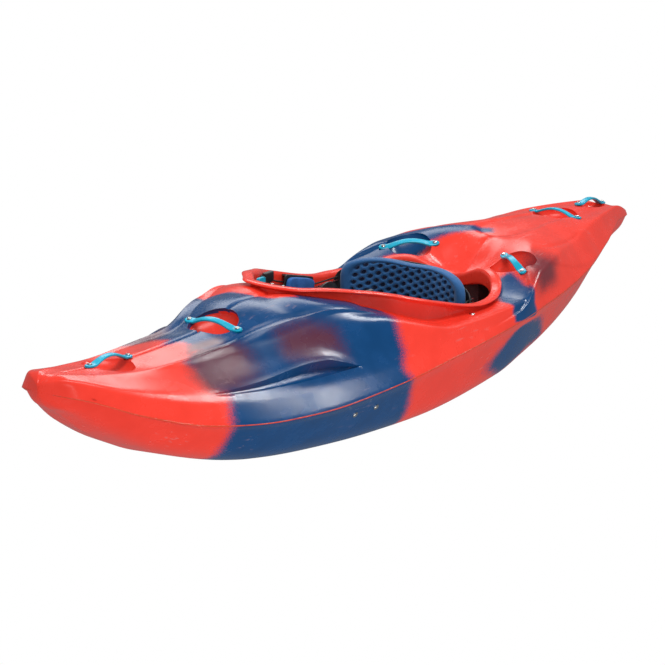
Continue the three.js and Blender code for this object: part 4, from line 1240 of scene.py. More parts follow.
DYE_PATCHES = (
    DyePatch(
        Dye.BLUE,
        Side.BOTH,
        (
            (0.93, 7.2), (0.855, 6.7), (0.851, 5.68), (0.948, 5.03), (0.937, 4.8), (0.941, 4.53), (0.948, 4.2),
            (0.923, 4.03), (0.944, 3.55), (0.965, 3.05), (0.948, 2.0), (0.941, 1.5), (0.92, 0.95), (0.9, -0.2),
            (0.23, -0.2), (0.242, 1.33), (0.265, 1.68), (0.287, 2.1), (0.319, 3.53), (0.287, 4.17), (0.287, 4.58),
            (0.283, 5.0), (0.25, 5.4), (0.2, 6.0), (0.2, 7.3),
        ),
    ),
    DyePatch(
        Dye.MURK,
        Side.BOTH,
        ((0.86, 5.85), (0.783, 5.5), (0.745, 4.85), (0.79, 4.45), (0.87, 4.2), (0.96, 4.15), (0.965, 4.5), (0.93, 5.0)),
        0.12,
    ),
    DyePatch(
        Dye.MURK,
        Side.BOTH,
        ((0.63, 4.95), (0.54, 4.98), (0.49, 4.8), (0.49, 4.5), (0.58, 4.42), (0.65, 4.6)),
        0.12,
    ),
    DyePatch(Dye.RED, Side.PORT, ((0.53, 7.3), (0.52, 6.6), (0.47, 6.2), (0.42, 7.3)), 0.04),
    DyePatch(Dye.MURK, Side.PORT, ((0.89, 5.75), (0.86, 6.3), (0.76, 6.1), (0.77, 5.7)), 0.07),
    DyePatch(
        Dye.RED,
        Side.STARBOARD,
        ((0.53, 7.3), (0.52, 6.2), (0.56, 5.4), (0.56, 4.7), (0.2, 4.7), (0.2, 7.3)),
        0.05,
    ),
    DyePatch(
        Dye.BLUE,
        Side.PORT,
        (
            (-0.414, 2.0), (-0.274, 2.25), (-0.19, 1.8), (-0.11, 1.58),
            (-0.27, 1.1), (-0.38, 1.3), (-0.53, 1.3), (-0.48, 1.7),
        ),
        0.07,
    ),
    DyePatch(
        Dye.BLUE,
        Side.PORT,
        (
            (-0.34, 5.9), (-0.385, 5.7), (-0.35, 5.2), (-0.33, 3.9),
            (-0.345, 2.6), (-0.2, 3.2), (-0.21, 4.4), (-0.235, 5.35),
        ),
        0.045,
    ),
    DyePatch(
        Dye.MURK,
        Side.PORT,
        ((-0.44, 5.7), (-0.5, 5.5), (-0.53, 4.7), (-0.5, 3.9), (-0.4, 4.0), (-0.37, 5.0)),
        0.16,
    ),
    DyePatch(
        Dye.BLUE,
        Side.STARBOARD,
        (
            (-0.25, 4.9), (-0.3, 5.4), (-0.356, 5.7), (-0.414, 6.2), (-0.436, 5.98), (-0.541, 6.23), (-0.609, 6.62),
            (-0.63, 6.93), (-0.66, 6.7), (-0.6, 5.9), (-0.5, 5.1), (-0.45, 4.2), (-0.3, 4.1),
        ),
        0.06,
    ),
)


# ---- cockpit, handles, hull


@dataclass(frozen=True)
class Cockpit:
    """The cockpit's rim: its line in plan and the sizes of its lip."""

    form: HullForm = HullForm()
    front: float = 0.47736
    length: float = 0.893
    half_width: float = 0.263
    lip: float = 0.03
    lip_drop: float = 0.007
    riser: float = 0.009
    least_rise: float = 0.02
    foot: float = 0.02
    lift: float = 0.009
    inside: float = 0.0003
    places: tuple[float, ...] = (0, 0.02, 0.07, 0.14, 0.2, 0.25, 0.31, 0.41, 0.68, 0.89, 1)
    widths: tuple[float, ...] = (0, 0.31, 0.45, 0.625, 0.71, 0.79, 0.91, 1, 1, 0.77, 0)
    rim_places: tuple[float, ...] = (0, 0.09, 0.2, 0.4, 0.66, 0.84, 1)
    rim_heights: tuple[float, ...] = (1.03, 1.015, 0.97, 0.85, 0.705, 0.665, 0.635)
    profile_count: int = 18
    lip_count: int = 11

    def line(self, count: int) -> tuple[np.ndarray, np.ndarray, np.ndarray]:
        """The rim's outer line in plan.

        Args:
            count: Points on each side.

        Returns:
            The points, their outward directions, and their shares of the length from the front.
        """
        t = (1 - np.cos(math.pi * (np.arange(count) + 0.5) / count)) / 2
        y = self.half_width * np.sqrt(np.maximum(through(self.places, np.square(self.widths), t), 0))
        x = self.front - self.length * t
        points = np.concatenate([np.stack([x, y], -1), np.stack([x, -y], -1)[::-1]])
        ahead, behind = np.roll(points, -1, 0), np.roll(points, 1, 0)
        tangent = ahead - behind
        outward = np.stack([tangent[:, 1], -tangent[:, 0]], -1)
        return points, outward / np.linalg.norm(outward, axis=1)[:, None], np.concatenate([t, t[::-1]])

    def top(self, point: np.ndarray, t: float) -> float:
        """The rim's height at a point of its line."""
        plain = self.form.deck_height * float(through(self.rim_places, self.rim_heights, np.array([t]))[0])
        return max(plain, self.form.deck_height_at(point[0], point[1]) + self.least_rise)

    def rim(self, count: int) -> Piece:
        """The rim with its rounded lip, riser and filleted foot, as one closed ring.

        Args:
            count: Points on each side.

        Returns:
            The ring.
        """
        points, outward, shares = self.line(count)
        tops = np.array([self.top(p, t) for p, t in zip(points, shares)])
        seats = points - outward * (self.lip - self.riser)
        decks = np.array([self.form.deck_height_at(*p) for p in seats])
        for _ in range(2):
            tops = (np.roll(tops, 1) + tops * 2 + np.roll(tops, -1)) / 4
        wall_out = self.riser - self.lip
        waists = np.maximum((tops + decks) / 2, tops - 2 * self.lip_drop)
        rings = []
        for p, out, top, deck, waist in zip(points, outward, tops, decks, waists):
            profile = (
                (-self.lip, deck - self.form.wall - self.inside), (-self.lip, top - 0.011),
                (-self.lip + 0.0012, top - 0.0055), (-self.lip + 0.005, top - 0.0014),
                (-self.lip / 2, top), (-0.0075, top - 0.0003), (-0.003, top - 0.0014),
                (-0.0007, top - 0.0034), (-0.0006, top - 0.0052), (-0.0025, top - 0.0066), (-0.007, top - 0.0072),
                (wall_out + 0.005, min(top - 0.0078, waist + 0.004)), (wall_out + 0.0008, waist - 0.001),
                (wall_out, deck + self.lift + 0.002), (wall_out + 0.0022, deck + self.lift * 0.6),
                (wall_out + self.foot * 0.35, deck + self.lift * 0.25),
                (wall_out + self.foot * 0.7, deck + self.lift * 0.06),
                (wall_out + self.foot, deck - self.form.wall / 2),
            )
            rings.append([(p[0] + out[0] * a, p[1] + out[1] * a, z) for a, z in profile])
        return closed_loop("rim", np.array(rings))

    def opening(self, count: int) -> Piece:
        """The upright prism that opens the deck inside the rim.

        Args:
            count: Points on each side.

        Returns:
            The prism.
        """
        points, outward, _ = self.line(count)
        inset = points - outward * (self.lip - self.riser / 2)
        return prism("opening", inset, self.form.deck_height / 2, self.form.deck_height * 1.5)


@dataclass(frozen=True)
class HandleSpot:
    """Where a grab handle stands, and the bowl pressed into the hull under it."""

    node: str
    share: float
    y: float
    heading: float
    bowl: tuple[float, float, float] = (0.062, 0.068, 0.034)


HANDLES = (
    HandleSpot("bow_grab_handle", 0.8125, 0, 0),
    HandleSpot("foredeck_grab_handle", 0.5147, 0, 90),
    HandleSpot("side_grab_handle_left", -0.3235, 0.166, 51),
    HandleSpot("side_grab_handle_right", -0.3235, -0.166, -51),
    HandleSpot("aft_grab_handle", -0.7, 0, 90),
    HandleSpot("stern_grab_handle", -0.85, 0, 0, (0.062, 0.036, 0.026)),
)
HANDLE_FRAMES = {
    "bow_grab_handle": ((1.10516, 0, 0.34725), (0.998, 0, 0.0637), (-0.0637, 0, 0.998)),
    "foredeck_grab_handle": ((0.69831, 0, 0.34613), (0, 1, 0), (0.294, 0, 0.956)),
    "side_grab_handle_left": ((-0.43883, 0.16652, 0.30036), (0.628, 0.775, -0.074), (0.365, -0.21, 0.907)),
    "side_grab_handle_right": ((-0.43883, -0.16652, 0.30036), (0.628, -0.775, -0.074), (0.365, 0.21, 0.907)),
    "aft_grab_handle": ((-0.95183, 0, 0.31795), (0, 1, 0), (-0.067, 0, 0.998)),
    "stern_grab_handle": ((-1.15564, 0, 0.31307), (0.99, 0, 0.143), (-0.143, 0, 0.99)),
}


@dataclass(frozen=True)
class GripSize:
    """Sizes that all grab handles share."""

    bolt_spacing: float = 0.142
    ear: float = 0.013
    width: float = 0.021
    thick: float = 0.007
    rise: float = 0.015
    sink: float = 0.0025
    clearance: float = 0.0003
    overrun: float = 0.004


@dataclass(frozen=True)
class Plug:
    """The drain plug's place on the starboard quarter and its sizes."""

    place: tuple[float, float, float] = (-1.075, -0.11764, 0.268)
    outward: tuple[float, float, float] = (-0.27628, -0.82392, 0.49479)
    radius: float = 0.013
    head: float = 0.005
    neck: float = 0.008
    neck_length: float = 0.01
    seal: float = 0.002
    recess: float = 0.0025
    slot: float = 0.0025
    clearance: float = 0.0003

    def frame(self) -> Matrix:
        """The plug's seat, its Z outwards."""
        return frame_at(self.place, Vector(self.outward).orthogonal(), self.outward)


@dataclass
class Hull:
    """The hollow hull: its skin with folds, the rim, the bowls under the handles and the bolt recesses."""

    form: HullForm
    relief: Relief
    cockpit: Cockpit
    grip: GripSize
    plug: Plug
    on_rim: float = 0.0003
    grid: np.ndarray = field(init=False)
    grid_girths: np.ndarray = field(init=False)
    rim_points: np.ndarray = field(init=False)

    def outer(self, stations: int) -> Piece:
        """The outer skin with its folds, as a closed solid.

        Args:
            stations: Sections along the hull.

        Returns:
            The solid.
        """
        shares = self.form.shares(stations)
        x = shares * self.form.half_length
        girths = self.relief.rows(x)
        line = self.form.sections(shares, girths)
        half = np.concatenate([np.broadcast_to(x[:, None, None], (*line.shape[:2], 1)), line], -1)
        half[:, 1:-1, 1] = np.maximum(half[:, 1:-1, 1], self.form.least_width)
        half[:, [0, -1], 1] = 0
        normal = np.cross(np.gradient(half, axis=1), np.gradient(half, axis=0))
        normal[:, [0, -1], 1] = 0
        normal /= np.maximum(np.linalg.norm(normal, axis=-1), 1e-12)[..., None]
        if normal[stations // 2, normal.shape[1] // 2, 1] < 0:
            normal = -normal
        half = half + normal * self.relief.heights(x, girths, line)[..., None]
        half[:, [0, -1], 1] = 0
        half[..., 2] = np.maximum(half[..., 2], 0)
        other = half[:, -2:0:-1] * (1, -1, 1)
        self.grid = np.concatenate([half.reshape(-1, 3), other.reshape(-1, 3)])
        self.grid_girths = np.concatenate([girths.ravel(), girths[:, -2:0:-1].ravel()])
        return closed_rings("hull", np.concatenate([half, other], 1))

    def inner(self, stations: int, depth: float, end: float = 0.95) -> Piece:
        """The hollow inside the shell, coarser than the skin and a depth under it.

        Args:
            stations: Sections along the hull.
            depth: How far it lies under the skin.
            end: The share of the length that is kept.

        Returns:
            The closed hollow.
        """
        shares = np.linspace(-end, end, stations)
        girths = np.broadcast_to(np.linspace(0, 7, 43), (stations, 43))
        line = self.form.sections(shares, girths)
        step = np.gradient(line, axis=1)
        step /= np.maximum(np.linalg.norm(step, axis=-1), 1e-9)[..., None]
        drawn = line + np.stack([-step[..., 1], step[..., 0]], -1) * depth
        drawn[:, 0] = line[:, 0] + (0, depth)
        drawn[:, -1] = line[:, -1] - (0, depth)
        drawn[:, 1:-1, 0] = np.maximum(drawn[:, 1:-1, 0], self.form.least_width)
        drawn[:, [0, -1], 0] = 0
        x = shares * self.form.half_length
        half = np.concatenate([np.broadcast_to(x[:, None, None], (*line.shape[:2], 1)), drawn], -1)
        return closed_rings("hollow", np.concatenate([half, half[:, -2:0:-1] * (1, -1, 1)], 1))

    def bowl(self, spot: HandleSpot, extra: float) -> Piece:
        """The half-buried oval hollow under one handle, grown by an extra distance.

        Args:
            spot: The handle.
            extra: How much larger it is on all sides.

        Returns:
            The closed oval.
        """
        frame = frame_at(*HANDLE_FRAMES[spot.node])
        up = np.linspace(math.pi, 0, 26)
        turns = turns_of(48)
        a, b, c = (size + extra for size in spot.bowl)
        rings = []
        for u in up[1:-1]:
            reach, z = math.sin(u), c * math.cos(u) + self.grip.sink
            rings.append([(a * reach * math.cos(w), b * reach * math.sin(w), z) for w in turns])
        return closed_rings("bowl", placed(np.array(rings), frame))

    def pocket(self, spot: HandleSpot, side: int) -> Piece:
        """The recess that one ear of a handle sits in.

        Args:
            spot: The handle.
            side: 1 for the front ear, -1 for the other.

        Returns:
            The closed block.
        """
        g = self.grip
        frame = frame_at(*HANDLE_FRAMES[spot.node])
        long, wide = g.ear + g.clearance + g.overrun, g.width / 2 + g.clearance
        middle = side * (g.bolt_spacing / 2 - g.overrun)
        start, end = middle - long, middle + long
        outline = np.array([(start, -wide), (end, -wide), (end, wide), (start, wide)])
        return prism("pocket", outline, 0, g.thick + 2 * g.overrun, frame)

    def build(self) -> Piece:
        """Puts the hull together.

        Returns:
            The hull's object.
        """
        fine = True
        shell = self.outer(470 if fine else 300)
        envelope = copy_of(shell)
        carve(shell, self.inner(110, self.form.wall + 0.0015), "DIFFERENCE")
        thick = [self.bowl(spot, self.form.wall) for spot in HANDLES]
        for bowl in thick:
            carve(bowl, copy_of(envelope), "INTERSECT")
            carve(shell, bowl, "UNION")
        discard(envelope)
        for spot in HANDLES:
            carve(shell, self.bowl(spot, 0), "DIFFERENCE")
        carve(shell, self.cockpit.opening(120), "DIFFERENCE")
        rim = self.cockpit.rim(150 if fine else 90)
        self.rim_points = coordinates(rim)
        carve(shell, rim, "UNION")
        for spot in HANDLES:
            for side in (-1, 1):
                carve(shell, self.pocket(spot, side), "DIFFERENCE")
        p = self.plug
        recess = lathe("recess", [(p.radius + 0.0006, -p.recess), (p.radius + 0.0006, 0.012)], p.frame())
        carve(shell, recess, "DIFFERENCE")
        bore = lathe("bore", [(p.neck + 0.0006, -0.02), (p.neck + 0.0006, 0.012)], p.frame())
        carve(shell, bore, "DIFFERENCE")
        shade_round(shell, 38)
        self.dye(shell)
        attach(shell, "hull")
        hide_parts("hull_shell")
        return shell

    def pillar(self, node: str, finish: Finish) -> Piece:
        """A foam pillar that stands between the deck and the bottom, clear of the bowls.

        Args:
            node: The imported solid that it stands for.
            finish: The foam's finish.

        Returns:
            The pillar.
        """
        low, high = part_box(node)
        outline = np.array([(low[0], low[1]), (high[0], low[1]), (high[0], high[1]), (low[0], high[1])])
        slab = prism(node + "_slab", outline, 0, self.form.deck_height)
        carve(slab, self.inner(110, self.form.wall + self.relief.channel_depth + 0.004), "INTERSECT")
        for spot in HANDLES:
            carve(slab, self.bowl(spot, self.form.wall + 0.003), "DIFFERENCE")
        crease(slab, 30)
        finish.dress(slab)
        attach(slab, "hull")
        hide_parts(node)
        return slab

    def dye(self, shell: Piece) -> None:
        """Keeps the dyes and the seam's place for each point of the shell.

        Args:
            shell: The shell.
        """
        points = coordinates(shell)
        tree = search_tree(self.grid)
        found = [tree.find(p) for p in points]
        nearest = np.array([f[1] for f in found])
        away = np.array([f[2] for f in found])
        girth, x = self.grid_girths[nearest], points[:, 0]
        side = np.where(points[:, 1] >= 0, 1, -1)
        blue, murk = np.zeros(len(points)), np.zeros(len(points))
        for patch in DYE_PATCHES:
            cover = patch.cover(x, girth, side)
            if patch.dye is Dye.BLUE:
                blue = np.maximum(blue, cover)
            elif patch.dye is Dye.RED:
                blue = np.minimum(blue, 1 - cover)
            else:
                murk = np.maximum(murk, cover)
        rim_tree, c = search_tree(self.rim_points), self.cockpit
        rim_found = [rim_tree.find(p) for p in points]
        on_lip = np.array([f[2] < self.on_rim and f[1] % c.profile_count < c.lip_count for f in rim_found])
        on_rim = np.maximum(self.rim_share(points), on_lip)
        in_foredeck = np.linalg.norm(points - HANDLE_FRAMES["foredeck_grab_handle"][0], axis=1) < 0.07
        inside = (away > 0.012) & in_foredeck
        plain = np.maximum(on_rim, inside.astype(float))
        store(shell, "dye_blue", blue * (1 - plain))
        store(shell, "dye_murk", murk * (1 - plain))
        parting = self.form.sections(x / self.form.half_length, np.full((len(x), 1), 3.0))[:, 0, 1]
        store(shell, "seam_height", points[:, 2] - parting)
        store(shell, "outer_skin", (away < 0.012) & (np.abs(girth - 3) < 0.4))

    def rim_share(self, points: np.ndarray) -> np.ndarray:
        """How far points belong to the rim and what lies inside it, from 0 to 1.

        Args:
            points: The points, one row each.

        Returns:
            One value for each point.
        """
        c = self.cockpit
        t = (c.front - points[:, 0]) / c.length
        width = c.half_width * np.sqrt(np.maximum(through(c.places, np.square(c.widths), np.clip(t, 0, 1)), 0))
        within = width - c.lip + c.riser + 0.004 - np.abs(points[:, 1])
        along = np.minimum(t, 1 - t) * c.length - c.lip + c.riser + 0.006
        return smoothstep(-0.004, 0.004, np.minimum(within, along))


@dataclass(frozen=True)
class GrabHandles:
    """The six moulded grab handles: an arched strap with an ear at each end."""

    size: GripSize

    def path(self, count: int) -> np.ndarray:
        """The strap's middle line in its own side view, from end to end.

        Args:
            count: Points on each half of the arch.

        Returns:
            Pairs of distance and height.
        """
        g = self.size
        inner, low, high = g.bolt_spacing / 2 - g.ear, g.thick / 2, g.rise + g.thick / 2
        u = np.linspace(0, 1, count)[:, None]
        knots = ((inner, low), (inner - g.ear * 0.7, low + g.sink / 2), (inner * 0.5, high), (0, high))
        a, b, c, d = (np.array(p) for p in knots)
        arch = (1 - u) ** 3 * a + 3 * u * (1 - u) ** 2 * b + 3 * u**2 * (1 - u) * c + u**3 * d
        end = g.bolt_spacing / 2 + g.ear
        share = 1 - np.cos(np.linspace(0, math.pi / 2, 12))
        ear = np.stack([end - share * (end - inner), np.full(12, low)], -1)[:-1]
        side = np.concatenate([ear, arch])
        return np.concatenate([side, side[-2::-1] * (-1, 1)])

    def strap(self, spot: HandleSpot) -> Piece:
        """One handle, standing in its place.

        Args:
            spot: The handle.

        Returns:
            The strap.
        """
        g = self.size
        line = self.path(16)
        tangent = np.gradient(line, axis=0)
        tangent /= np.linalg.norm(tangent, axis=1)[:, None]
        up = np.stack([-tangent[:, 1], tangent[:, 0]], -1)
        up *= np.sign(up[:, 1])[:, None]
        turns = turns_of(28)
        rings = []
        end = g.bolt_spacing / 2 + g.ear
        for p, n in zip(line, up):
            tip = np.clip((end - abs(p[0])) / g.ear, 0.0004, 1)
            waist = 1 - 0.2 * smoothstep(0.06, 0.02, abs(p[0]))
            half = g.width / 2 * math.sqrt(1 - (1 - tip) ** 2) * waist
            soft = 1 - 0.35 * (1 - tip) ** 4
            ring = []
            for w in turns:
                c, s = math.cos(w), math.sin(w)
                reach = (abs(c) ** 4 + abs(s) ** 4) ** -0.25
                rise = g.thick / 2 * s * reach * soft
                ring.append((p[0] + n[0] * rise, half * c * reach, p[1] + n[1] * rise))
            rings.append(ring)
        made = closed_rings(spot.node + "_strap", placed(np.array(rings), frame_at(*HANDLE_FRAMES[spot.node])))
        return crease(made, 50)

    def build(self, finish: Finish) -> list[Piece]:
        """Makes and dresses all the handles.

        Args:
            finish: The finish.

        Returns:
            The six straps.
        """
        made = []
        for spot in HANDLES:
            strap = self.strap(spot)
            finish.dress(strap)
            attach(strap, "hull")
            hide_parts(spot.node)
            made.append(strap)
        return made


# ---- fasteners


@dataclass(frozen=True)
class Bolt:
    """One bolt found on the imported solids: its axis outwards, its ends and its radius."""

    node: str
    top: Vector
    axis: Vector
    length: float
    radius: float


def find_bolt(node: str, item: Piece, hint: Vector) -> Bolt:
    """Reads a turned fastener's axis and ends off its solid.

    Args:
        node: The solid's name.
        item: Its object.
        hint: A direction roughly out of the head.

    Returns:
        The bolt.
    """
    points = coordinates(item)
    middle = (points.max(0) + points.min(0)) / 2
    values, vectors = np.linalg.eigh(np.cov((points - middle).T))
    odd = 0 if abs(values[1] - values[0]) > abs(values[2] - values[1]) else 2
    axis = Vector(vectors[:, odd])
    if axis.dot(hint) < 0:
        axis = -axis
    along = (points - middle) @ np.array(axis)
    across = (points - middle) - along[:, None] * np.array(axis)
    across -= (across.max(0) + across.min(0)) / 2
    top = Vector(middle) + axis * float(along.max())
    return Bolt(node, top, axis, float(along.max() - along.min()), float(np.linalg.norm(across, axis=1).max()))


def head_template() -> Piece:
    """A low domed head of unit radius with a six-sided socket, its top at z = 0.

    Returns:
        The head.
    """
    sides = 36
    turns = turns_of(sides)
    rings = []
    dome = ((0.93, -0.52), (1.0, -0.46), (1.0, -0.36), (0.95, -0.24), (0.84, -0.12), (0.68, -0.035), (0.55, 0.0))
    for radius, z in dome:
        rings.append([(radius * math.cos(a), radius * math.sin(a), z) for a in turns])
    for radius, z in ((0.42, -0.012), (0.38, -0.05), (0.37, -0.3)):
        ring = []
        for a in turns:
            flat = math.cos(math.pi / 6) / math.cos((a % (math.pi / 3)) - math.pi / 6)
            ring.append((radius * flat * math.cos(a), radius * flat * math.sin(a), z))
        rings.append(ring)
    return crease(closed_rings("bolt_head", np.array(rings)), 35)


def rod_template() -> Piece:
    """A threaded rod of unit radius from z = 0 down to -1.

    Returns:
        The rod.
    """
    heights = np.linspace(0, -1, 25)
    profile = [(1.0 if k % 2 else 0.88, z) for k, z in enumerate(heights)]
    return lathe("bolt_rod", profile, Matrix.Identity(4), 12)


def nut_template() -> Piece:
    """A six-sided nut of unit radius, its lower face at z = 0.

    Returns:
        The nut.
    """
    turns = turns_of(6)
    profile = ((0.88, 0), (1, 0.08), (1, 0.62), (0.88, 0.7))
    rings = [[(r * math.cos(a), r * math.sin(a), z) for a in turns] for r, z in profile]
    return closed_rings("bolt_nut", np.array(rings), smooth=False)


@dataclass
class Fasteners:
    """All bolts and screws, as instances of one head, one rod and one nut."""

    nodes: dict[str, Piece]
    proud: float = 0.0026
    proud_width: float = 1.3
    bolts: list[Bolt] = field(init=False)

    def __post_init__(self) -> None:
        """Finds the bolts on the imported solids."""
        found = [find_bolt(name, item, self.hint(name)) for name, item in self.nodes.items() if self.is_bolt(name)]
        outside = ("rail_bolt", "deck_bolt")
        self.bolts = [self.raised(bolt) if bolt.node.startswith(outside) else bolt for bolt in found]

    def raised(self, bolt: Bolt) -> Bolt:
        """A bolt with a wide head standing proud of the skin."""
        return replace(bolt, top=bolt.top + bolt.axis * self.proud, radius=bolt.radius * self.proud_width)

    @staticmethod
    def is_bolt(name: str) -> bool:
        """Whether a node is a fastener."""
        return "bolt" in name or "pivot" in name

    @staticmethod
    def hint(name: str) -> Vector:
        """A direction roughly out of a fastener's head.

        Args:
            name: The fastener's name.

        Returns:
            The direction.
        """
        side = 1 if "left" in name else -1
        if "rail_bolt" in name:
            return Vector((0, side, -0.4))
        if "pivot" in name:
            return Vector((0, -side, 0.3))
        return Vector((0, 0, 1))

    @staticmethod
    def group(parts: Sequence[tuple[Piece, float, bool, bool]], finish: Finish) -> Tree:
        """The Geometry Nodes group that puts templates on each point.

        Args:
            parts: Each template with its width over the head's, whether it is as long as the bolt,
                and whether it stands at the bolt's far end.
            finish: The finish of all of them.

        Returns:
            The group.
        """
        tree = bpy.data.node_groups.new("fasteners", "GeometryNodeTree")
        tree.interface.new_socket("Geometry", in_out="INPUT", socket_type="NodeSocketGeometry")
        tree.interface.new_socket("Geometry", in_out="OUTPUT", socket_type="NodeSocketGeometry")
        w = Wiring(tree)
        given, result = w.put("NodeGroupInput"), w.put("NodeGroupOutput")
        points = w.put("GeometryNodeMeshToPoints", {"Mesh": given.outputs["Geometry"]}).outputs[0]

        def named(label: str, kind: str) -> Socket:
            """A value kept on the points."""
            return w.put("GeometryNodeInputNamedAttribute", {"Name": label}, data_type=kind).outputs[0]

        facing = {"Vector": named("facing", "FLOAT_VECTOR")}
        turn = w.put("FunctionNodeAlignRotationToVector", facing, axis="Z").outputs[0]
        size, length = named("size", "FLOAT"), named("length", "FLOAT")
        joined = w.put("GeometryNodeJoinGeometry")
        for item, share, is_long, at_end in parts:
            across = w.math("MULTIPLY", size, share)
            sizes = {"X": across, "Y": across, "Z": length if is_long else size}
            scale = w.put("ShaderNodeCombineXYZ", sizes).outputs[0]
            spot = points
            if at_end:
                offset = w.put("ShaderNodeVectorMath", {0: named("facing", "FLOAT_VECTOR")}, operation="SCALE")
                w.feed(offset.inputs["Scale"], w.math("MULTIPLY", length, -1.0))
                spot = w.put("GeometryNodeSetPosition", {"Geometry": points, "Offset": offset.outputs[0]}).outputs[0]
            source = w.put("GeometryNodeObjectInfo", {"Object": item}).outputs["Geometry"]
            copies = w.put(
                "GeometryNodeInstanceOnPoints", {"Points": spot, "Instance": source, "Rotation": turn, "Scale": scale}
            )
            w.feed(joined.inputs[0], copies.outputs[0])
        real = w.put("GeometryNodeRealizeInstances", {"Geometry": joined.outputs[0]})
        coat = w.put("GeometryNodeSetMaterial", {"Geometry": real.outputs[0], "Material": finish.material()})
        w.feed(result.inputs[0], coat.outputs[0])
        return tree

    def build(self, finish: Finish, cockpit: Cockpit) -> list[Piece]:
        """Makes the bolts as one piece and the rim's screws as another.

        Args:
            finish: The steel's finish.
            cockpit: The rim that the screws sit on.

        Returns:
            Both pieces.
        """
        head, rod, nut = head_template(), rod_template(), nut_template()
        whole = [(head, 1, False, False), (rod, 0.5, True, False), (nut, 0.9, False, True)]
        bolts = self.piece("fasteners", self.bolts, whole, finish)
        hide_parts(*[b.node for b in self.bolts])
        screws = self.screws(cockpit)
        heads = self.piece("rim_screw_heads", screws, [(head, 1, False, False)], finish)
        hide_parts(*[b.node for b in screws if b.node])
        discard(head, rod, nut)
        return [bolts, heads]

    @staticmethod
    def screws(cockpit: Cockpit) -> list[Bolt]:
        """The screws on the rim's lip: four over the cleats and two at its front.

        Args:
            cockpit: The cockpit's rim.

        Returns:
            The screws.
        """
        names = [f"rim_screw_{k}_{side}" for k in (1, 2) for side in ("left", "right")]
        places = [(name, *middle_of(name)[:2]) for name in names]
        places += [("", cockpit.front - 0.025, -0.003), ("", cockpit.front - 0.025, 0.031)]
        made = []
        for node, x, y in places:
            t = (cockpit.front - x) / cockpit.length if node else 0.0
            z = cockpit.top(np.array((x, y)), t)
            slope = (cockpit.top(np.array((x, y)), t + 0.01) - z) / (0.01 * cockpit.length) if node else 0.0
            made.append(Bolt(node, Vector((x, y, z + 0.0006)), Vector((slope, 0, 1)).normalized(), 0.004, 0.0042))
        return made

    @staticmethod
    def piece(
        name: str, bolts: Sequence[Bolt], parts: Sequence[tuple[Piece, float, bool, bool]], finish: Finish
    ) -> Piece:
        """One dressed piece with the templates on each bolt.

        Args:
            name: The piece's name.
            bolts: The bolts.
            parts: What the group puts on each of them.
            finish: The finish of all of them.

        Returns:
            The piece.
        """
        piece = new_object(name, np.array([b.top for b in bolts]), [])
        facing = piece.data.attributes.new("facing", "FLOAT_VECTOR", "POINT")
        facing.data.foreach_set("vector", [c for b in bolts for c in b.axis])
        store(piece, "size", np.array([b.radius for b in bolts]))
        store(piece, "length", np.array([b.length for b in bolts]))
        step = piece.modifiers.new("fasteners", "NODES")
        step.node_group = Fasteners.group(parts, finish)
        settle(piece)
        shade_round(piece, 35)
        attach(piece, "hull")
        return piece


# ---- pads


def squircle(u: np.ndarray, w: np.ndarray, power: float) -> tuple[np.ndarray, np.ndarray, np.ndarray]:
    """Maps a square grid onto a rounded oblong of half size one.

    Args:
        u: Grid values across, from -1 to 1.
        w: Grid values up, from -1 to 1.
        power: How square the oblong is: 2 gives a circle.

    Returns:
        The mapped points across and up, and how near each is to the border, from 0 to 1.
    """
    a, b = u * np.sqrt(1 - w**2 / 2), w * np.sqrt(1 - u**2 / 2)
    angle = np.arctan2(b, a)
    reach = (np.abs(np.cos(angle)) ** power + np.abs(np.sin(angle)) ** power) ** (-1 / power)
    return a * reach, b * reach, np.hypot(a, b)


def two_sided(name: str, front: np.ndarray, back: np.ndarray) -> Piece:
    """A closed pad from a front and a back sheet of points of one grid.

    Args:
        name: The name.
        front: The front sheet, rows by columns by three.
        back: The back sheet, of the same grid.

    Returns:
        The closed pad.
    """
    rows, columns = front.shape[:2]
    count = rows * columns
    vertices = np.concatenate([front.reshape(-1, 3), back.reshape(-1, 3)])
    faces = grid_faces(rows, columns)
    other = [tuple(k + count for k in face[::-1]) for face in faces]
    border = list(range(columns))
    border += [i * columns + columns - 1 for i in range(1, rows)]
    border += [(rows - 1) * columns + j for j in range(columns - 2, -1, -1)]
    border += [i * columns for i in range(rows - 2, 0, -1)]
    sides = []
    for k, a in enumerate(border):
        b = border[(k + 1) % len(border)]
        sides.append((b, a, a + count, b + count))
    every = faces + other + sides
    if volume_of(vertices, every) < 0:
        every = [face[::-1] for face in every]
    return new_object(name, vertices, every)


@dataclass(frozen=True)
class PadPlace:
    """Where a pad lies: the middle of its back, along its length, and out of its face."""

    origin: tuple[float, float, float]
    along: tuple[float, float, float]
    out: tuple[float, float, float]

    def matrix(self) -> Matrix:
        """The placement, its Z out of the pad's face."""
        return frame_at(self.origin, self.along, self.out)


@dataclass(frozen=True)
class PadSize:
    """A pad's length, width, thickness at its middle and the part of it that is crown."""

    length: float
    width: float
    thick: float
    crown: float
    power: float = 4.5


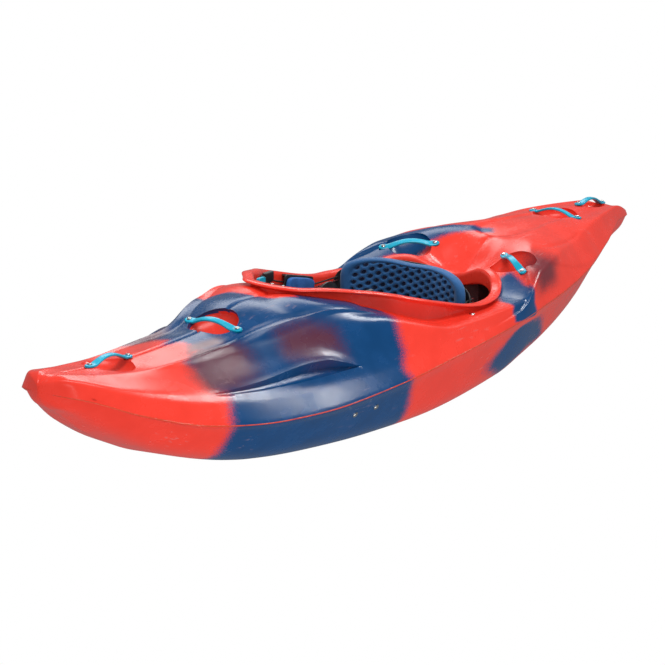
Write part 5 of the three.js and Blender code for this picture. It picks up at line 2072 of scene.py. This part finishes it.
@dataclass(frozen=True)
class Pad:
    """A crowned pad: foam under a fabric skin, swollen between its borders."""

    name: str
    size: PadSize
    place: PadPlace
    body: str
    node: str

    def raw(self, columns: int = 61, rows: int = 45, shrink: float = 1.0) -> Piece:
        """The pad's plain crowned form, in its own frame.

        Args:
            columns: Points along the length.
            rows: Points across the width.
            shrink: Its size as a share of the full size.

        Returns:
            The closed form.
        """
        d = self.size
        u, w = np.meshgrid(np.linspace(-1, 1, columns), np.linspace(-1, 1, rows))
        x, y, r = squircle(u, w, d.power)
        edge = np.sqrt(np.clip(1 - smoothstep(0.9, 1.0, r) ** 2, 0, 1))
        side = (d.thick - d.crown) * (0.32 + 0.68 * edge)
        top = side + d.crown * (1 - r**2)
        low = (d.thick - d.crown) * 0.3 * (1 - edge)
        half = np.stack([x * d.length / 2 * shrink, y * d.width / 2 * shrink], -1)
        front = np.concatenate([half, top[..., None]], -1)
        back = np.concatenate([half, low[..., None]], -1)
        return two_sided(self.name, front, back)

    def finishing(self, piece: Piece, fill: float, slot: str) -> Piece:
        """Puts the pad in place and hands it to its body.

        Args:
            piece: The piece.
            fill: How firmly it is filled, from 0 to 1. Not used.
            slot: The record's name for its material. Not used.

        Returns:
            The pad.
        """
        piece.data.transform(self.place.matrix())
        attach(piece, self.body)
        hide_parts(self.node)
        return piece

    def build(self, finish: Finish, fill: float, slot: str) -> Piece:
        """Makes the pad without swelling it: firm foam.

        Args:
            finish: The finish.
            fill: How firmly it is filled, from 0 to 1. Not used: only passed on to finishing.
            slot: The record's name for its material. Not used: only passed on to finishing.

        Returns:
            The pad.
        """
        piece = self.raw()
        crease(piece, 60)
        finish.dress(piece)
        return self.finishing(piece, fill, slot)


@dataclass(frozen=True)
class SwollenPad(Pad):
    """A pad whose skin is blown out by a cloth simulation."""

    travel: float = 0.006

    def build(self, finish: Finish, fill: float, slot: str) -> Piece:
        """Makes the pad, its skin swollen by at most its travel.

        Args:
            finish: The finish.
            fill: How firmly it is filled, from 0 to 1. Not used: only passed on to finishing.
            slot: The record's name for its material. Not used: only passed on to finishing.

        Returns:
            The pad.
        """
        piece = self.raw(shrink=0.975)
        remesh = piece.modifiers.new("remesh", "REMESH")
        remesh.mode, remesh.voxel_size = "VOXEL", 0.0045
        settle(piece)
        before = coordinates(piece)
        cloth = piece.modifiers.new("cloth", "CLOTH")
        cloth.settings.use_pressure = True
        cloth.settings.uniform_pressure_force = 4.0
        cloth.settings.effector_weights.gravity = 0
        cloth.point_cache.frame_start, cloth.point_cache.frame_end = 1, 20
        for frame in range(1, 21):
            bpy.context.scene.frame_set(frame)
        settle(piece)
        bpy.context.scene.frame_set(1)
        moved = coordinates(piece) - before
        length = np.linalg.norm(moved, axis=1)
        keep = np.minimum(1, self.travel / np.maximum(length, 1e-9))[:, None]
        after = before + moved * keep
        after[:, 2] = np.maximum(after[:, 2], 0)
        piece.data.vertices.foreach_set("co", after.astype(np.float32).ravel())
        piece.data.update()
        smooth = piece.modifiers.new("smooth", "SUBSURF")
        smooth.levels = smooth.render_levels = 1
        settle(piece)
        self.channels(piece)
        finish.dress(piece)
        return self.finishing(piece, fill, slot)

    def channels(self, piece: Piece) -> None:
        """Presses the sewn channel round the border and two across the pad.

        Args:
            piece: The piece.
        """
        d = self.size
        p = coordinates(piece)
        across, up = p[:, 0] / (d.length / 2), p[:, 1] / (d.width / 2)
        reach = (np.abs(across) ** d.power + np.abs(up) ** d.power) ** (1 / d.power)
        ring = np.exp(-(((reach - 0.84) * d.width / 2 / 0.0035) ** 2))
        lines = np.exp(-(((np.abs(across) - 0.33) * d.length / 2 / 0.0035) ** 2)) * (reach < 0.84)
        face = smoothstep(0.4, 0.8, p[:, 2] / d.thick)
        p[:, 2] -= 0.0022 * np.maximum(ring, lines) * face
        piece.data.vertices.foreach_set("co", p.astype(np.float32).ravel())
        piece.data.update()


@dataclass(frozen=True)
class BandForm:
    """The backband pad's form: its outline, its bend round the paddler and its moulded cells."""

    half_width: float = 0.198
    half_height: float = 0.072
    middle: float = 0.26
    rear: float = -0.205
    depth: float = 0.052
    shell: float = 0.0043
    thick: float = 0.024
    border: float = 0.01
    dip: float = 0.006
    cell_across: float = 0.025
    cell_up: float = 0.0165
    cell_depth: float = 0.0075
    shell_share: float = 0.93
    wing: tuple[tuple[float, float, float, float], ...] = (
        (-0.171, 0.16, 0.222, 0.3), (-0.1645, 0.178, 0.218, 0.296), (-0.1575, 0.192, 0.212, 0.29),
        (-0.1515, 0.202, 0.207, 0.284), (-0.146, 0.209, 0.2, 0.274), (-0.1385, 0.2145, 0.19, 0.254),
        (-0.129, 0.2178, 0.181, 0.224), (-0.118, 0.2188, 0.175, 0.2), (-0.108, 0.2188, 0.178, 0.195),
    )

    def bend(self, y: np.ndarray) -> np.ndarray:
        """Where the band's rear face is at a distance from the middle."""
        return self.rear + self.depth * (y / self.half_width) ** 2


@dataclass(frozen=True)
class Backband:
    """The backband's padded face, moulded in slanting rows of cells inside a smooth border."""

    form: BandForm

    def build(self, finish: Finish) -> Piece:
        """Makes the pad, keeping the depth of its cells for the painted shade in its finish.

        Args:
            finish: The finish.

        Returns:
            The pad.
        """
        f = self.form
        columns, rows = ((301, 131))
        u, w = np.meshgrid(np.linspace(-1, 1, columns), np.linspace(-1, 1, rows))
        a, b, r = squircle(u, w, 3.4)
        y, z = a * f.half_width, b * f.half_height
        z = z - f.dip * np.exp(-((y / 0.06) ** 2)) * np.clip(b, 0, 1) ** 2
        inside = (1 - r) * f.half_height
        cos, sin = math.cos(0.42), math.sin(0.42)
        p, q = y * cos + z * sin, z * cos - y * sin
        row = np.round(q / f.cell_up)
        shift = (row % 2) * f.cell_across / 2
        du = (p - shift) / f.cell_across
        du = (du - np.round(du)) * f.cell_across
        dv = q - row * f.cell_up
        cell = np.hypot(du / (f.cell_across * 0.36), dv / (f.cell_up * 0.37))
        hollow = smoothstep(1.15, 0.55, cell) * smoothstep(f.border - 0.002, f.border + 0.003, inside)
        rib = smoothstep(0.4, 1.4, cell) * smoothstep(f.border, f.border + 0.004, inside)
        edge = np.sqrt(np.clip(1 - (1 - np.clip(inside / (f.border * 0.55), 0, 1)) ** 2, 0, 1))
        groove = np.exp(-(((inside - f.border) / 0.002) ** 2))
        rise = f.thick * (0.3 + 0.66 * edge) - f.cell_depth * hollow + 0.001 * rib - 0.0022 * groove
        rise += 0.001 * (1 - r**2)
        low = f.thick * 0.25 * (1 - edge)
        slope = np.arctan(2 * f.depth * y / f.half_width**2)
        rear = f.bend(y) + f.shell
        front = np.stack([rear + rise * np.cos(slope), y - rise * np.sin(slope), z + f.middle], -1)
        back = np.stack([rear + low * np.cos(slope), y - low * np.sin(slope), z + f.middle], -1)
        pad = two_sided("backband_padding", front, back)
        # The cells' depth, which the finish turns into painted shade.
        store(pad, "cell_depth", np.concatenate([hollow.ravel(), np.zeros(hollow.size)]))
        finish.dress(pad)
        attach(pad, "backband")
        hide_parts("backband_pad")
        return pad

    def shell(self, finish: Finish) -> Piece:
        """Makes the moulded shell behind the pad, with a wing on each side down to its pivot.

        Args:
            finish: The shell's finish.

        Returns:
            The shell.
        """
        f = self.form
        u, w = np.meshgrid(np.linspace(-1, 1, 81), np.linspace(-1, 1, 41))
        a, b, _ = squircle(u, w, 3.4)
        y, z = a * f.half_width * f.shell_share, b * f.half_height * f.shell_share + f.middle
        rear, thick = f.bend(y), f.shell - 0.0003
        slope = np.arctan(2 * f.depth * y / f.half_width**2)
        front = np.stack([rear + thick * np.cos(slope), y - thick * np.sin(slope), z], -1)
        sheet = two_sided("backband_moulding", front, np.stack([rear, y, z], -1))
        run = np.array(f.wing)
        along = np.linspace(0, 1, len(run))
        fine = np.stack([through(along, run[:, k], np.linspace(0, 1, 40)) for k in range(4)], -1)
        heading = np.gradient(fine[:, :2], axis=0)
        heading /= np.linalg.norm(heading, axis=1)[:, None]
        for side in (1, -1):
            rings = []
            for (x, y_at, low, high), (dx, dy) in zip(fine, heading):
                half, soft = 0.0019, 0.0012
                section = (
                    (-half, low + soft), (-half, high - soft), (soft - half, high), (half - soft, high),
                    (half, high - soft), (half, low + soft), (half - soft, low), (soft - half, low),
                )
                rings.append([(x - dy * a, side * (y_at + dx * a), z_at) for a, z_at in section])
            carve(sheet, closed_rings("wing", np.array(rings)), "UNION")
        shade_round(sheet, 35)
        finish.dress(sheet)
        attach(sheet, "backband")
        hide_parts("backband_shell")
        return sheet


# ---- cords


def smooth_run(points: np.ndarray, spacing: float) -> np.ndarray:
    """A smooth run through points, its own points evenly spaced.

    Args:
        points: The route's points.
        spacing: The distance between the run's points.

    Returns:
        The run.
    """
    steps = np.concatenate([[0], np.cumsum(np.linalg.norm(np.diff(points, axis=0), axis=1))])
    fine = np.linspace(0, steps[-1], int(steps[-1] / spacing) + 2)
    return np.stack([through(steps, points[:, k], fine) for k in range(3)], -1)


def tube(name: str, run: np.ndarray, radius: float, sides: int = 12) -> Piece:
    """A round tube along a run, which keeps its length and turn for its finish.

    Args:
        name: The name.
        run: Points along the middle.
        radius: The radius.
        sides: How many sides it has.

    Returns:
        The tube.
    """
    tangent = np.gradient(run, axis=0)
    tangent /= np.linalg.norm(tangent, axis=1)[:, None]
    normal = np.cross(tangent[0], (0.1, 0.2, 1.0))
    normal /= np.linalg.norm(normal)
    turns = turns_of(sides)
    rings = []
    for k in range(len(run)):
        normal = normal - tangent[k] * (normal @ tangent[k])
        normal /= np.linalg.norm(normal)
        other = np.cross(tangent[k], normal)
        rings.append([run[k] + radius * (math.cos(a) * normal + math.sin(a) * other) for a in turns])
    made = closed_rings(name, np.array(rings))
    along = np.concatenate([[0], np.cumsum(np.linalg.norm(np.diff(run, axis=0), axis=1))])
    ends = [along[0], along[-1]]
    store(made, "cord_length", np.concatenate([np.repeat(along, sides), ends]))
    store(made, "cord_turn", np.concatenate([np.tile(np.arange(sides) / sides, len(run)), [0, 0]]))
    return made


ADJUSTER_ROUTE = (
    (-0.163, 0.205, 0.267), (-0.152, 0.205, 0.267), (-0.139, 0.205, 0.267), (-0.124, 0.21, 0.265),
    (-0.108, 0.217, 0.262), (-0.07, 0.224, 0.26), (-0.02, 0.224, 0.27), (0.04, 0.224, 0.285),
    (0.1, 0.223, 0.3), (0.15, 0.213, 0.316), (0.2, 0.187, 0.334), (0.228, 0.162, 0.35),
    (0.236, 0.154, 0.355), (0.244, 0.152, 0.358), (0.256, 0.152, 0.3595), (0.276, 0.152, 0.361),
    (0.285, 0.146, 0.362), (0.294, 0.1355, 0.3635), (0.302, 0.1275, 0.3655), (0.308, 0.1265, 0.366),
    (0.315, 0.1265, 0.366),
)


@dataclass(frozen=True)
class CordSize:
    """The adjuster cord's radius and the drop between its two runs."""

    radius: float = 0.0022
    spacing: float = 0.01
    knot: float = 0.0031


@dataclass(frozen=True)
class AdjusterCords:
    """The doubled cords that draw the backband forward, with a pull tab on each loop."""

    size: CordSize

    def route(self, side: int) -> np.ndarray:
        """The whole route: forward, round the tab and back, on one side of the boat.

        Args:
            side: 1 for port, -1 for starboard.

        Returns:
            Points along the cord.
        """
        upper = smooth_run(np.array(ADJUSTER_ROUTE), 0.0035)
        bend = self.size.spacing / 2
        angles = np.linspace(math.pi / 2, -math.pi / 2, 9)[1:-1]
        end = upper[-1]
        loop = np.array([(end[0] + bend * math.cos(a), end[1], end[2] - bend + bend * math.sin(a)) for a in angles])
        lower = upper[::-1] - (0, 0, self.size.spacing)
        return np.concatenate([upper, loop, lower]) * (1, side, 1)

    def knot(self, name: str, at: np.ndarray) -> Piece:
        """A small overhand knot at a cord's end.

        Args:
            name: The name.
            at: Where it sits.

        Returns:
            The knot.
        """
        turns = np.linspace(0, 2 * math.pi, 49)[:-1]
        r = self.size.knot * 0.42
        x = (np.sin(turns) + 2 * np.sin(2 * turns)) * r * 0.5
        y = (np.cos(turns) - 2 * np.cos(2 * turns)) * r * 0.5
        z = -np.sin(3 * turns) * r * 0.8
        run = np.stack([z, x, y], -1) + at
        return tube(name, run, self.size.radius * 0.72, 10)

    def build(self, finish: Finish, tabs: dict[str, Piece]) -> None:
        """Makes both cords with their knots and hands the knots to the backband.

        Args:
            finish: The finish.
            tabs: The pull tabs by side. Not used.
        """
        for label, side in (("left", 1), ("right", -1)):
            run = self.route(side)
            cord = tube(f"adjuster_cord_run_{label}", run, self.size.radius)
            drops = (np.zeros(3), np.array((0, 0, -self.size.spacing)))
            ends = [run[0] + drop - (0.002, 0, 0) for drop in drops]
            knots = [self.knot(f"cord_knot_{label}_{k + 1}", at) for k, at in enumerate(ends)]
            finish.dress(cord, *knots)
            for knot in knots:
                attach(knot, "backband")
            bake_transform(cord)
            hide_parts(f"adjuster_cord_{label}")


def rounded_block(name: str, size: Sequence[float], radius: float, place: Sequence[float]) -> Piece:
    """A block with rounded edges.

    Args:
        name: Its name.
        size: Its length, width and height.
        radius: The rounding of its ends.
        place: Its middle.

    Returns:
        The block.
    """
    half = np.array(size) / 2
    share = np.linspace(-1, 1, 25)
    x = np.sign(share) * (1 - (1 - np.abs(share)) ** 1.6) * half[0]
    turns = turns_of(40)
    reach = (np.abs(np.cos(turns)) ** 6 + np.abs(np.sin(turns)) ** 6) ** (-1 / 6)
    rings = []
    for at in x:
        past = min(max((abs(at) - half[0] + radius) / radius, 0), 0.96)
        shrink = radius * (1 - math.sqrt(1 - past * past))
        y, z = (half[1] - shrink) * np.cos(turns) * reach, (half[2] - shrink) * np.sin(turns) * reach
        rings.append(np.stack([np.full(len(turns), at), y, z], -1))
    return crease(closed_rings(name, np.array(rings) + place), 40)


@dataclass(frozen=True)
class CordCleats:
    """The small cleats under the rim that hold the adjuster cords."""

    body: tuple[float, float, float] = (0.042, 0.0125, 0.028)
    arm: tuple[float, float, float] = (0.026, 0.016, 0.012)

    def build(self, finish: Finish) -> list[Piece]:
        """Makes both cleats.

        Args:
            finish: The finish.

        Returns:
            Both cleats.
        """
        made = []
        for label, side in (("left", 1), ("right", -1)):
            x = float(middle_of(f"cord_cleat_{label}")[0])
            cleat = rounded_block(f"cleat_{label}", self.body, 0.005, (x, side * 0.152, 0.3545))
            arm = rounded_block("arm", self.arm, 0.003, (x - 0.004, side * 0.164, 0.3525))
            carve(cleat, arm, "UNION")
            shade_round(cleat, 40)
            finish.dress(cleat)
            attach(cleat, "hull")
            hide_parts(f"cord_cleat_{label}")
            made.append(cleat)
        return made


@dataclass(frozen=True)
class DrainPlug:
    """The screwed drain plug: a turned head with a gripping edge and a coin slot."""

    size: Plug

    def build(self, finish: Finish) -> Piece:
        """Makes the plug in its place.

        Args:
            finish: The finish.

        Returns:
            The plug.
        """
        p = self.size
        head = -p.recess + p.seal + 2 * p.clearance
        top = head + p.head
        profile = (
            (p.neck * 0.9, -p.recess - p.neck_length), (p.neck, -p.recess - p.neck_length + 0.001), (p.neck, head),
            (p.radius - 0.0004, head), (p.radius, head + 0.0006), (p.radius, top - 0.0017),
            (p.radius - 0.0016, top - 0.0002), (p.radius - 0.0035, top), (p.radius - 0.0045, top - 0.0006),
        )
        sides = 96
        turns = turns_of(sides)
        rings = []
        for k, (r, z) in enumerate(profile):
            knurl = 0.0004 if 3 < k < 6 else 0
            reach = r - knurl * (np.arange(sides) % 4 > 1)
            rings.append(np.stack([reach * np.cos(turns), reach * np.sin(turns), np.full(sides, z)], -1))
        frame = p.frame()
        plug = closed_rings("drain_plug_screw", placed(np.array(rings), frame))
        half = p.slot / 2
        outline = np.array([(-0.0085, -half), (0.0085, -half), (0.0085, half), (-0.0085, half)])
        carve(plug, prism("slot", outline, top - 0.0024, top + 0.002, frame), "DIFFERENCE")
        shade_round(plug, 30)
        finish.dress(plug)
        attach(plug, "drain_plug")
        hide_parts("drain_plug")
        return plug


# ---- studio


@dataclass(frozen=True)
class View:
    """The camera: where it looks, from where, and its roll."""

    target: tuple[float, float, float] = (0.221, 0, 0.225)
    turn: float = 33.8
    height: float = 15.4
    roll: float = 1.1
    distance: float = 7.5
    lens: float = 159.7
    shift: tuple[float, float] = (0.0128, 0.00075)

    def build(self) -> Piece:
        """Makes the camera and sets it as the scene's own.

        Returns:
            The camera.
        """
        turn, height, roll = (math.radians(a) for a in (self.turn, self.height, self.roll))
        back = Vector((math.cos(turn) * math.cos(height), math.sin(turn) * math.cos(height), math.sin(height)))
        right = Vector((0, 0, 1)).cross(back).normalized()
        up = back.cross(right)
        level = right * math.cos(roll) + up * math.sin(roll)
        upright = up * math.cos(roll) - right * math.sin(roll)
        camera = bpy.data.objects.new("camera", bpy.data.cameras.new("camera"))
        bpy.context.scene.collection.objects.link(camera)
        camera.matrix_world = Matrix((level, upright, back)).transposed().to_4x4()
        camera.location = Vector(self.target) + back * self.distance
        camera.data.lens, camera.data.sensor_width = self.lens, 36
        camera.data.shift_x, camera.data.shift_y = self.shift
        camera.data.clip_end = 60
        bpy.context.scene.camera = camera
        return camera


@dataclass(frozen=True)
class Lamp:
    """A soft area lamp."""

    name: str
    place: tuple[float, float, float]
    aim: tuple[float, float, float]
    size: tuple[float, float]
    power: float
    gleam_only: bool = False

    def build(self) -> Piece:
        """Makes the lamp.

        Returns:
            The lamp's object.
        """
        light = bpy.data.lights.new(self.name, "AREA")
        light.shape, light.size, light.size_y = "RECTANGLE", *self.size
        light.energy = self.power
        lamp = bpy.data.objects.new(self.name, light)
        bpy.context.scene.collection.objects.link(lamp)
        lamp.location = self.place
        lamp.visible_diffuse = not self.gleam_only
        lamp.rotation_euler = (Vector(self.place) - Vector(self.aim)).to_track_quat("Z", "Y").to_euler()
        return lamp


@dataclass(frozen=True)
class Studio:
    """The white surroundings and the lamps."""

    lamps: tuple[Lamp, ...] = (
        Lamp("key", (0.5, 1.2, 4.4), (0.0, 0, 0.2), (3.4, 1.4), 125),
        Lamp("front", (4.2, 3.2, 1.8), (0.2, 0, 0.2), (1.6, 0.8), 14),
        Lamp("rear", (-2.6, -2.2, 2.8), (0, 0, 0.3), (2.4, 1.6), 45),
        Lamp("strip", (-2.7, 0.9, 2.85), (0.8, 0.2, 0.25), (1.5, 0.2), 48, gleam_only=True),
        Lamp("floor", (1.6, 2.6, -1.8), (-0.3, 0.1, 0.15), (4.0, 2.0), 50),
    )

    def build(self) -> None:
        """Makes the world and the lamps, and sets how colours are shown."""
        world = bpy.data.worlds.new("surroundings")
        world.use_nodes = True
        world.node_tree.nodes.clear()
        w = Wiring(world.node_tree)
        rays = w.put("ShaderNodeLightPath")
        seen = w.math("MAXIMUM", rays.outputs["Is Camera Ray"], rays.outputs["Is Transmission Ray"])
        plain = w.put("ShaderNodeBackground", {"Color": (1, 1, 1, 1), "Strength": 1.0})
        soft = w.put("ShaderNodeBackground", {"Color": (0.93, 0.96, 1, 1), "Strength": 0.78})
        dim = w.put("ShaderNodeBackground", {"Color": (0.93, 0.96, 1, 1), "Strength": 0.22})
        around = w.put("ShaderNodeMixShader", {0: rays.outputs["Is Glossy Ray"], 1: soft.outputs[0], 2: dim.outputs[0]})
        mixed = w.put("ShaderNodeMixShader", {0: seen, 1: around.outputs[0], 2: plain.outputs[0]})
        w.feed(w.put("ShaderNodeOutputWorld").inputs["Surface"], mixed.outputs[0])
        bpy.context.scene.world = world
        bpy.context.scene.view_settings.view_transform = "Standard"
        for lamp in self.lamps:
            lamp.build()


# ---- finishes of this boat

HULL_PLASTIC = MarbledHull("hull_plastic_marbled", (0.8, 0.04, 0.022), 0.25)
TEAL_PLASTIC = Moulding("handle_plastic_teal", (0.0, 0.36, 0.52), 0.27, 500.0, 0.00008, 0.15)
BLACK_PLASTIC = Moulding("black_plastic_moulded", (0.013, 0.012, 0.014), 0.48, 800.0, 0.00016, 0.4)
STEEL = Metal("bolt_steel_turned", (0.62, 0.62, 0.61), 0.24)
ALUMINIUM = Metal("bracket_aluminium_brushed", (0.68, 0.69, 0.7), 0.34, (0.06, 1.0, 1.0))
PILLAR_FOAM = CellFoam("pillar_foam_grey", (0.09, 0.09, 0.1), 0.9)
BLUE_FOAM = CellFoam("brace_foam_blue", (0.005, 0.085, 0.3), 0.8, 520.0, 0.0003)
BLUE_FABRIC = EggCrate("pad_fabric_blue", (0.0, 0.09, 0.27), 0.72)
DARK_FABRIC = Neoprene("pad_fabric_dark", (0.016, 0.017, 0.02), 0.8)
RUBBER = Moulding("seal_rubber_black", (0.012, 0.012, 0.013), 0.6, 900.0, 0.00006, 0.1)
CORD_FIBRE = Braid("cord_fibre_braided", (0.014, 0.012, 0.014), 0.75)


def dress_nodes(nodes: dict[str, Piece], finishes: dict[str, Finish]) -> None:
    """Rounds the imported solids' edges and gives them their finishes.

    Args:
        nodes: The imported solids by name.
        finishes: The finish of each named solid.
    """
    for name, finish in finishes.items():
        item = nodes[name]
        weld = item.modifiers.new("weld", "WELD")
        weld.merge_threshold = 0.00002
        bevel = item.modifiers.new("round", "BEVEL")
        bevel.width, bevel.segments, bevel.limit_method = 0.0008, 2, "ANGLE"
        bevel.angle_limit = math.radians(32)
        bevel.harden_normals = True
        finish.dress(item)


def middle_of(node: str) -> np.ndarray:
    """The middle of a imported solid's box."""
    low, high = (np.array(p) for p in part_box(node))
    return (low + high) / 2


def build_pads() -> None:
    """Makes the seat, hip, thigh and foot pads."""
    seat = PadPlace((-0.02, 0, 0.0473), (1, 0, 0), (0, 0, 1))
    size = PadSize(0.3, 0.28, 0.02, 0.007)
    SwollenPad("seat_padding", size, seat, "seat", "seat_pad").build(DARK_FABRIC, 0.7, "pad_fabric")
    for label, side in (("left", 1), ("right", -1)):
        hip = PadPlace((-0.02, side * 0.1507, 0.195), (1, 0, 0), (0, -side, 0))
        size = PadSize(0.17, 0.13, 0.026, 0.006)
        SwollenPad(f"hip_padding_{label}", size, hip, "seat", f"hip_pad_{label}").build(DARK_FABRIC, 0.8, "pad_fabric")
        node = f"thigh_brace_pad_{label}"
        low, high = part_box(node)
        back = max(abs(low[1]), abs(high[1]))
        x, _, z = middle_of(node)
        brace = PadPlace((x, side * back, z), (0.9724, 0, 0.2334), (0, -side, 0))
        Pad(f"thigh_brace_padding_{label}", PadSize(0.126, 0.052, 0.015, 0.004), brace, f"brace_{label}", node).build(
            BLUE_FOAM, 0.9, "brace_foam"
        )
    low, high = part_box("footrest_foam")
    foot = PadPlace((high[0], 0, (low[2] + high[2]) / 2), (0, 1, 0), (-1, 0, 0))
    size = PadSize(high[1] - low[1], high[2] - low[2], high[0] - low[0], 0.003, 6)
    Pad("footrest_padding", size, foot, "footrest", "footrest_foam").build(BLUE_FOAM, 0.95, "brace_foam")


def choose_finish(name: str) -> Finish:
    """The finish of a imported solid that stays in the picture.

    Args:
        name: The solid's name.

    Returns:
        The finish.
    """
    if "pull_tab" in name:
        return TEAL_PLASTIC
    if "bracket" in name or "footrest_rail" in name or name == "footrest_plate":
        return ALUMINIUM
    if name == "drain_seal":
        return RUBBER
    return BLACK_PLASTIC


def main() -> None:
    """Builds the boat's pieces in order and hands them to the frame."""
    logging.basicConfig(level=logging.INFO, format="%(message)s")
    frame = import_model()
    nodes = frame["nodes"]
    View().build()
    tabs = {side: nodes[f"pull_tab_{side}"] for side in ("left", "right")}
    AdjusterCords(CordSize()).build(CORD_FIBRE, tabs)
    LOG.info("adjuster cords made")
    form, grip, plug = HullForm(), GripSize(), Plug()
    cockpit = Cockpit(form)
    shape = Hull(form, Relief(), cockpit, grip, plug)
    hull = shape.build()
    HULL_PLASTIC.dress(hull)
    LOG.info("hull: %d faces", len(hull.data.polygons))
    for node in ("bow_pillar", "stern_pillar"):
        pillar = shape.pillar(node, PILLAR_FOAM)
        LOG.info("%s: %d faces", node, len(pillar.data.polygons))
    GrabHandles(grip).build(TEAL_PLASTIC)
    LOG.info("grab handles: %d", len(HANDLES))
    bolts = Fasteners(nodes).build(STEEL, cockpit)
    LOG.info("fasteners: %d faces", sum(len(piece.data.polygons) for piece in bolts))
    CordCleats().build(BLACK_PLASTIC)
    band = Backband(BandForm())
    band.shell(BLACK_PLASTIC)
    band.build(BLUE_FABRIC)
    LOG.info("backband made")
    build_pads()
    LOG.info("pads made")
    DrainPlug(plug).build(BLACK_PLASTIC)
    dress_nodes(nodes, {name: choose_finish(name) for name, item in nodes.items() if not item.hide_render})
    Studio().build()


if __name__ == "__main__":
    main()
